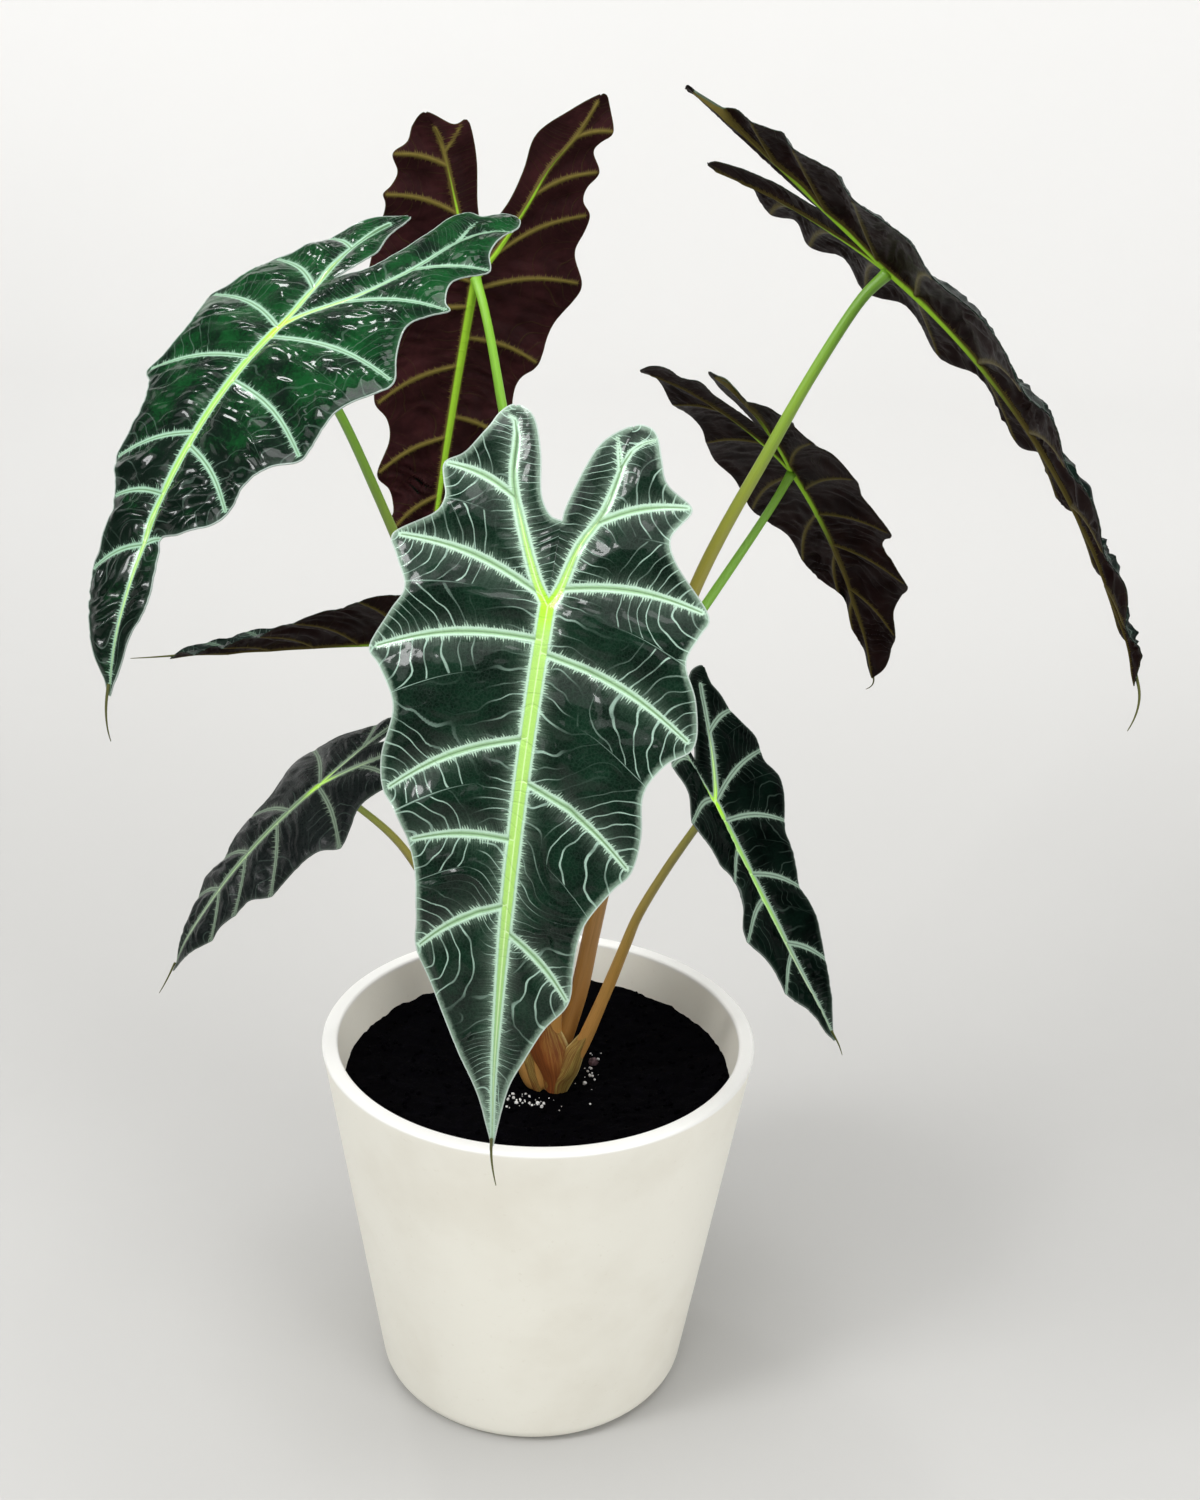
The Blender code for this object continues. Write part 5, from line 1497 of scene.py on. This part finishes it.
def build_crown(material):
    """The sheaths round a solid core."""
    verts, facts, faces = [], [], []
    for sheath in SHEATHS:
        shell, shell_facts = loft_sheath(sheath)
        rings = len(shell) // (2 * SHEATH_CELLS)
        faces += tube_faces(rings, 2 * SHEATH_CELLS, len(verts))
        verts += shell
        facts += shell_facts
    faces += tube_faces(len(CORE), CORE_SIDES, len(verts))
    for i, (radius, z) in enumerate(CORE):
        verts += circle(radius, z, CORE_SIDES, CROWN_X / MM, CROWN_Y / MM)
        facts += [(CORE_KHAKI, 0.5 + 0.3 * math.sin(turn), i / len(CORE))
                  for turn in around(CORE_SIDES)]
    mesh = new_piece("crown_sheaths", np.array(verts) * MM, faces, material, ["crown"],
                     "sheath_brown")
    store(mesh, "sheath", facts)
    face_outward(mesh)


def pot_side(z):
    """The pot's outer radius at a height."""
    return POT_BASE_RADIUS + (POT_RIM_RADIUS - POT_BASE_RADIUS) * z / POT_HEIGHT


def round_corner(x, z, radius, start, end, steps):
    """An arc about a point of the profile, between two angles in degrees."""
    angles = np.radians(np.linspace(start, end, steps + 1))
    return [(x + radius * math.cos(a), z + radius * math.sin(a)) for a in angles]


def pot_profile():
    """From the middle of the pot's floor up inside, over the rim and down to the foot."""
    slope = math.degrees(math.atan2(POT_RIM_RADIUS - POT_BASE_RADIUS, POT_HEIGHT))
    bevel_wide, bevel_high = POT_FLOOR_BEVEL
    floor = pot_side(POT_FLOOR) - POT_WALL
    inner_top = POT_RIM_RADIUS - POT_RIM_WALL
    climb = (inner_top - floor) / (POT_HEIGHT - POT_FLOOR)
    rim_z = POT_HEIGHT - POT_RIM_ROUND
    foot_x = pot_side(POT_FOOT_ROUND) - POT_FOOT_ROUND * POT_FOOT_INSET
    profile = [(floor - bevel_wide, POT_FLOOR), (floor, POT_FLOOR + bevel_high)]
    profile += [(floor + climb * (z - POT_FLOOR), z) for z in np.linspace(*POT_INNER_RUN, 10)]
    profile += round_corner(inner_top + POT_RIM_ROUND, rim_z, POT_RIM_ROUND, 180, 90, 5)
    profile += round_corner(POT_RIM_RADIUS - POT_RIM_ROUND, rim_z, POT_RIM_ROUND, 90, -slope, 6)
    profile += [(pot_side(z), z) for z in np.linspace(*POT_OUTER_RUN, 16)]
    profile += round_corner(foot_x, POT_FOOT_ROUND, POT_FOOT_ROUND, -slope, -90, 9)
    return profile


def pot_finish(look):
    """Matte cream glaze with faint clouds and a fine tooth."""
    nodes = Nodes("pot_cream")
    place = nodes.place()
    cloud = nodes.noise(place, 14.0, 4.0, 0.6)
    fine = nodes.noise(place, 420.0, 3.0, 0.6)
    base = nodes.mix(nodes.rise(cloud, 0.42, 0.75, 0.0, 0.30), look.body, look.speck)
    base = nodes.mix(nodes.rise(fine, 0.62, 0.78, 0.0, 0.25), base, look.speck)
    # painted light: the top of the rim turns lighter, as if lit from above
    start, full = (POT_HEIGHT - below for below in POT_RIM_BAND)
    rim = nodes.rise(nodes.split(place)[2], start, full, 0.0, 0.9)
    base = nodes.mix(rim, base, look.rim)
    nodes.bump(nodes.plus(cloud, nodes.times(fine, 0.15)), 0.25, 0.0010)
    return nodes.set(Base_Color=base, Roughness=0.48, Specular_IOR_Level=0.4)


def soil_finish(look):
    """Nearly black damp soil, a little lighter on its lumps."""
    nodes = Nodes("soil_damp")
    lumps = nodes.noise(nodes.place(), 260.0, 5.0, 0.7)
    base = nodes.mix(nodes.rise(lumps, 0.45, 0.8), look.dark, scaled(look.dark, 3.0))
    nodes.bump(lumps, 0.8, 0.0015)
    return nodes.set(Base_Color=base, Roughness=0.95, Specular_IOR_Level=0.03)


def grain_finish(look):
    """Pale grains with darker spots."""
    nodes = Nodes("grain_pale")
    spots = nodes.noise(nodes.place(), 700.0, 3.0)
    base = nodes.mix(nodes.rise(spots, 0.4, 0.7), look.grain, GRAIN_SPOT)
    return nodes.set(Base_Color=base, Roughness=0.8)


def chip_finish(look):
    """Bark with a rough dark grain."""
    nodes = Nodes("bark_chip")
    grain = nodes.noise(nodes.place(), 900.0, 3.0)
    nodes.bump(grain, 0.5, 0.0005)
    base = nodes.mix(nodes.rise(grain, 0.4, 0.7), look.chip, scaled(look.chip, 0.4))
    return nodes.set(Base_Color=base, Roughness=0.8)


def soil_edge(z):
    """The soil's radius at a height inside the pot."""
    return pot_side(z) - POT_WALL - SOIL_GAP


def soil_height(x, y, rough):
    """A shallow dish with lumps of three sizes."""
    share = math.hypot(x, y) / POT_RIM_RADIUS
    rise = (SOIL_EDGE_Z - SOIL_MIDDLE_Z) * share ** 2
    bumps = sum(height * noise.noise(Vector((x, y, layer)) * scale)
                for height, layer, scale in SOIL_BUMPS)
    return SOIL_MIDDLE_Z + rise + rough * bumps


def soil_bed(look):
    """A lumpy disc of rings round its middle, with a plain side and base."""
    verts = [(0.0, 0.0, soil_height(0.0, 0.0, look.rough))]
    for ring in range(1, SOIL_RINGS + 1):
        level = circle(soil_edge(SOIL_EDGE_Z) * ring / SOIL_RINGS, 0.0, SOIL_STEPS)
        verts += [(x, y, soil_height(x, y, look.rough)) for x, y, _ in level]
    verts += circle(soil_edge(SOIL_BASE_Z) - SOIL_GAP, SOIL_BASE_Z, SOIL_STEPS)
    faces = [[0, 1 + k, 1 + (k + 1) % SOIL_STEPS] for k in range(SOIL_STEPS)]
    faces += [face[::-1] for face in ring_faces(SOIL_RINGS + 1, SOIL_STEPS, start=1)]
    faces.append([len(verts) - 1 - k for k in range(SOIL_STEPS)])
    return verts, faces


def scatter(name, stones, material, rng):
    """Small rounded stones on the soil, each uneven, as one piece."""
    bm = bmesh.new()
    for place, size in stones:
        made = bmesh.ops.create_icosphere(bm, subdivisions=1, radius=1.0)["verts"]
        stretch = [size * rng.uniform(0.6, 1.3) for _ in range(3)]
        turn = Matrix.Rotation(rng.uniform(0, 6.28), 3, Vector(rng.normal(size=3)).normalized())
        shift = Vector(rng.uniform(0, 50, 3))
        for v in made:
            out = 1.0 + 0.35 * noise.noise(v.co * 1.7 + shift)
            v.co = turn @ Vector([c * s * out for c, s in zip(v.co, stretch)]) + Vector(place)
    mesh = bpy.data.meshes.new(name)
    bm.to_mesh(mesh)
    bm.free()
    mesh.materials.append(material)
    add_piece(name, mesh, [])


# Operators

class PLANT_OT_pot(Operator):
    """Turn the cream pot from its profile"""
    bl_idname = "plant.pot"
    bl_label = "Pot"

    def execute(self, context):
        look = context.scene.plant_pot
        profile = pot_profile()
        verts = [point for x, z in profile for point in circle(x, z, look.steps)]
        faces = tube_faces(len(profile), look.steps)
        face_outward(new_piece("pot_body", verts, faces, pot_finish(look), ["pot"], "pot_white"))
        return {"FINISHED"}


class PLANT_OT_soil(Operator):
    """Lay the lumpy soil with its crumbs, pale grains and chip of bark"""
    bl_idname = "plant.soil"
    bl_label = "Soil"

    def execute(self, context):
        look = context.scene.plant_soil
        rng = np.random.default_rng(5)
        new_piece("soil_bed", *soil_bed(look), soil_finish(look), ["soil"], "soil_black")

        def on_soil(x, y, size, raised):
            """A stone's place and size. Its middle is raised by a share of its size."""
            return (x, y, soil_height(x, y, look.rough) + raised * size), size

        crumbs = []
        for _ in range(look.crumbs):
            r = soil_edge(SOIL_EDGE_Z) * 0.97 * math.sqrt(rng.uniform())
            turn = rng.uniform(0, 2 * math.pi)
            size = rng.uniform(0.0005, 0.0017)
            crumbs.append(on_soil(r * math.cos(turn), r * math.sin(turn), size, 0.2))
        scatter("soil_crumbs", crumbs, soil_finish(look), rng)
        grains = []
        for i in range(look.grains):
            middle, spread = GRAIN_CLUSTERS[i % 3 // 2]
            x, y = (rng.normal(m, w) for m, w in zip(middle, spread))
            size = 0.0003 + 0.0007 * rng.uniform() ** 3
            grains.append(on_soil(x, y, size, 0.4))
        scatter("soil_grains", grains, grain_finish(look), rng)
        x, y = BARK_CHIP
        chip = ((x, y, soil_height(x, y, look.rough) + 0.001), 0.0022)
        scatter("soil_chip", [chip], chip_finish(look), rng)
        return {"FINISHED"}


class PLANT_OT_crown(Operator):
    """Wrap the crown in its dry sheaths"""
    bl_idname = "plant.crown"
    bl_label = "Crown"

    def execute(self, context):
        build_crown(sheath_finish(context.scene.plant_crown))
        return {"FINISHED"}


class PLANT_OT_stalks(Operator):
    """Grow a stalk from the crown to each blade"""
    bl_idname = "plant.stalks"
    bl_label = "Stalks"

    def execute(self, context):
        look = context.scene.plant_stalks
        material = stalk_finish(look)
        for leaf in LEAVES:
            build_stalk(leaf, look, material)
        return {"FINISHED"}


class PLANT_OT_blades(Operator):
    """Lay out, vein and bend each leaf blade"""
    bl_idname = "plant.blades"
    bl_label = "Blades"

    def execute(self, context):
        look = context.scene.plant_blades
        uppers = {name: upper_finish(look, name, skin) for name, skin in upper_skins(look).items()}
        unders = {
            "maroon": under_finish(look, "maroon", look.maroon, scaled(look.olive, 0.7), 2.5),
            # the darker copy of the maroon, with dimmer ribs: painted shade
            "dusk": under_finish(look, "dusk", look.dusk, scaled(look.olive, 0.42), 0.42),
        }
        for leaf in LEAVES:
            build_blade(leaf, look, uppers[leaf.finish], unders[leaf.under])
        return {"FINISHED"}


class PLANT_OT_stage(Operator):
    """Set the pale floor and backdrop, the soft lights and the camera"""
    bl_idname = "plant.stage"
    bl_label = "Stage"

    def execute(self, context):
        look = context.scene.plant_stage
        self.backdrop(context, look)
        for name, (place, target, size) in LAMPS.items():
            self.lamp(context, name, place, target, size, getattr(look, name))
        self.room(context, look)
        self.camera(context, look)
        return {"FINISHED"}

    def backdrop(self, context, look):
        """A floor that bends up into a low wall, clear to whoever looks from behind."""
        bend_y = BACKDROP_BACK - BACKDROP_BEND
        line = [(BACKDROP_FRONT, 0.0), (bend_y, 0.0)]
        line += [(bend_y + BACKDROP_BEND * math.sin(a), BACKDROP_BEND - BACKDROP_BEND * math.cos(a))
                 for a in np.linspace(0.0, math.pi / 2, 16)[1:]]
        line.append((BACKDROP_BACK, BACKDROP_HIGH))
        verts = [(x, y, z) for y, z in line for x in (-BACKDROP_HALF, BACKDROP_HALF)]
        faces = [[2 * i, 2 * i + 1, 2 * i + 3, 2 * i + 2] for i in range(len(line) - 1)]
        mesh = bpy.data.meshes.new("backdrop")
        mesh.from_pydata(verts, [], faces)
        mesh.shade_smooth()
        nodes = Nodes("backdrop_pale")
        # painted shade: the sheet is greyer on the floor and turns lighter as it rises into the wall
        height = nodes.split(nodes.place())[2]
        pale = nodes.mix(nodes.rise(height, 0.02, 0.40), look.floor, look.wall)
        # painted shade: faint soft blotches of the floor's grey over the backdrop
        clouds = nodes.noise(nodes.place(), 3.0, 2.0)
        pale = nodes.mix(nodes.rise(clouds, 0.4, 0.7, 0.0, 0.05), pale, look.floor)
        nodes.set(Base_Color=pale, Roughness=0.9, Specular_IOR_Level=0.1)
        nodes.clear_from_behind()
        mesh.materials.append(nodes.material)
        backdrop = bpy.data.objects.new("backdrop", mesh)
        context.scene.collection.objects.link(backdrop)

    def lamp(self, context, name, place, target, size, power):
        data = bpy.data.lights.new(name, "AREA")
        data.shape = "SQUARE"
        data.size = size
        data.energy = power
        lamp = bpy.data.objects.new(name, data)
        lamp.location = place
        lamp.rotation_euler = (Vector(target) - Vector(place)).to_track_quat("-Z", "Y").to_euler()
        context.scene.collection.objects.link(lamp)

    def room(self, context, look):
        """Even light, and a pale room that the camera sees beyond the backdrop."""
        world = bpy.data.worlds.new("room")
        world.use_nodes = True
        tree = world.node_tree
        air = tree.nodes["Background"].inputs
        air["Color"].default_value = (0.98, 0.99, 1.0, 1.0)
        seen = tree.nodes.new("ShaderNodeLightPath").outputs["Is Camera Ray"]
        strength = tree.nodes.new("ShaderNodeMapRange")
        strength.inputs["To Min"].default_value = look.sky
        strength.inputs["To Max"].default_value = look.beyond
        tree.links.new(seen, strength.inputs["Value"])
        tree.links.new(strength.outputs[0], air["Strength"])
        context.scene.world = world
        context.scene.view_settings.view_transform = "Standard"

    def camera(self, context, look):
        data = bpy.data.cameras.new("camera")
        data.lens = look.lens
        data.sensor_width = 36.0
        data.clip_start = 0.05
        forward = Vector(CAMERA_WAY).normalized()
        right = Vector((1.0, 0.0, 0.0))
        up = right.cross(forward)
        roll = math.radians(CAMERA_ROLL)
        turned_right = right * math.cos(roll) + up * math.sin(roll)
        turned_up = up * math.cos(roll) - right * math.sin(roll)
        turn = Matrix((turned_right, turned_up, -forward)).transposed()
        camera = bpy.data.objects.new("camera", data)
        camera.matrix_world = Matrix.Translation(CAMERA_PLACE) @ turn.to_4x4()
        context.scene.collection.objects.link(camera)
        context.scene.camera = camera


GROUPS = {"pot": PotLook, "soil": SoilLook, "crown": CrownLook, "stalks": StalkLook,
          "blades": BladeLook, "stage": StageLook}
OPERATORS = (PLANT_OT_pot, PLANT_OT_soil, PLANT_OT_crown, PLANT_OT_stalks, PLANT_OT_blades,
             PLANT_OT_stage)


class PLANT_PT_sidebar(Panel):
    """Lists the plant's pieces and what a user would change on each"""
    bl_label = "Potted Alocasia"
    bl_idname = "PLANT_PT_sidebar"
    bl_space_type = "VIEW_3D"
    bl_region_type = "UI"
    bl_category = "Alocasia"

    def draw(self, context):
        for name, group in GROUPS.items():
            box = self.layout.box()
            box.operator("plant." + name)
            for key in group.__annotations__:
                box.prop(getattr(context.scene, "plant_" + name), key)


def register():
    for name, group in GROUPS.items():
        bpy.utils.register_class(group)
        setattr(bpy.types.Scene, "plant_" + name, PointerProperty(type=group))
    for made in (*OPERATORS, PLANT_PT_sidebar):
        bpy.utils.register_class(made)


def unregister():
    for made in (PLANT_PT_sidebar, *reversed(OPERATORS)):
        bpy.utils.unregister_class(made)
    for name, group in reversed(GROUPS.items()):
        delattr(bpy.types.Scene, "plant_" + name)
        bpy.utils.unregister_class(group)


def main():
    register()
    for item in list(bpy.data.objects):
        if item.type in ("CAMERA", "LIGHT") or item.name == "Cube":
            bpy.data.objects.remove(item)
    bpy.ops.plant.pot()
    bpy.ops.plant.soil()
    bpy.ops.plant.crown()
    bpy.ops.plant.stalks()
    bpy.ops.plant.blades()
    bpy.ops.plant.stage()
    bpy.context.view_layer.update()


if __name__ == "__main__":
    main()
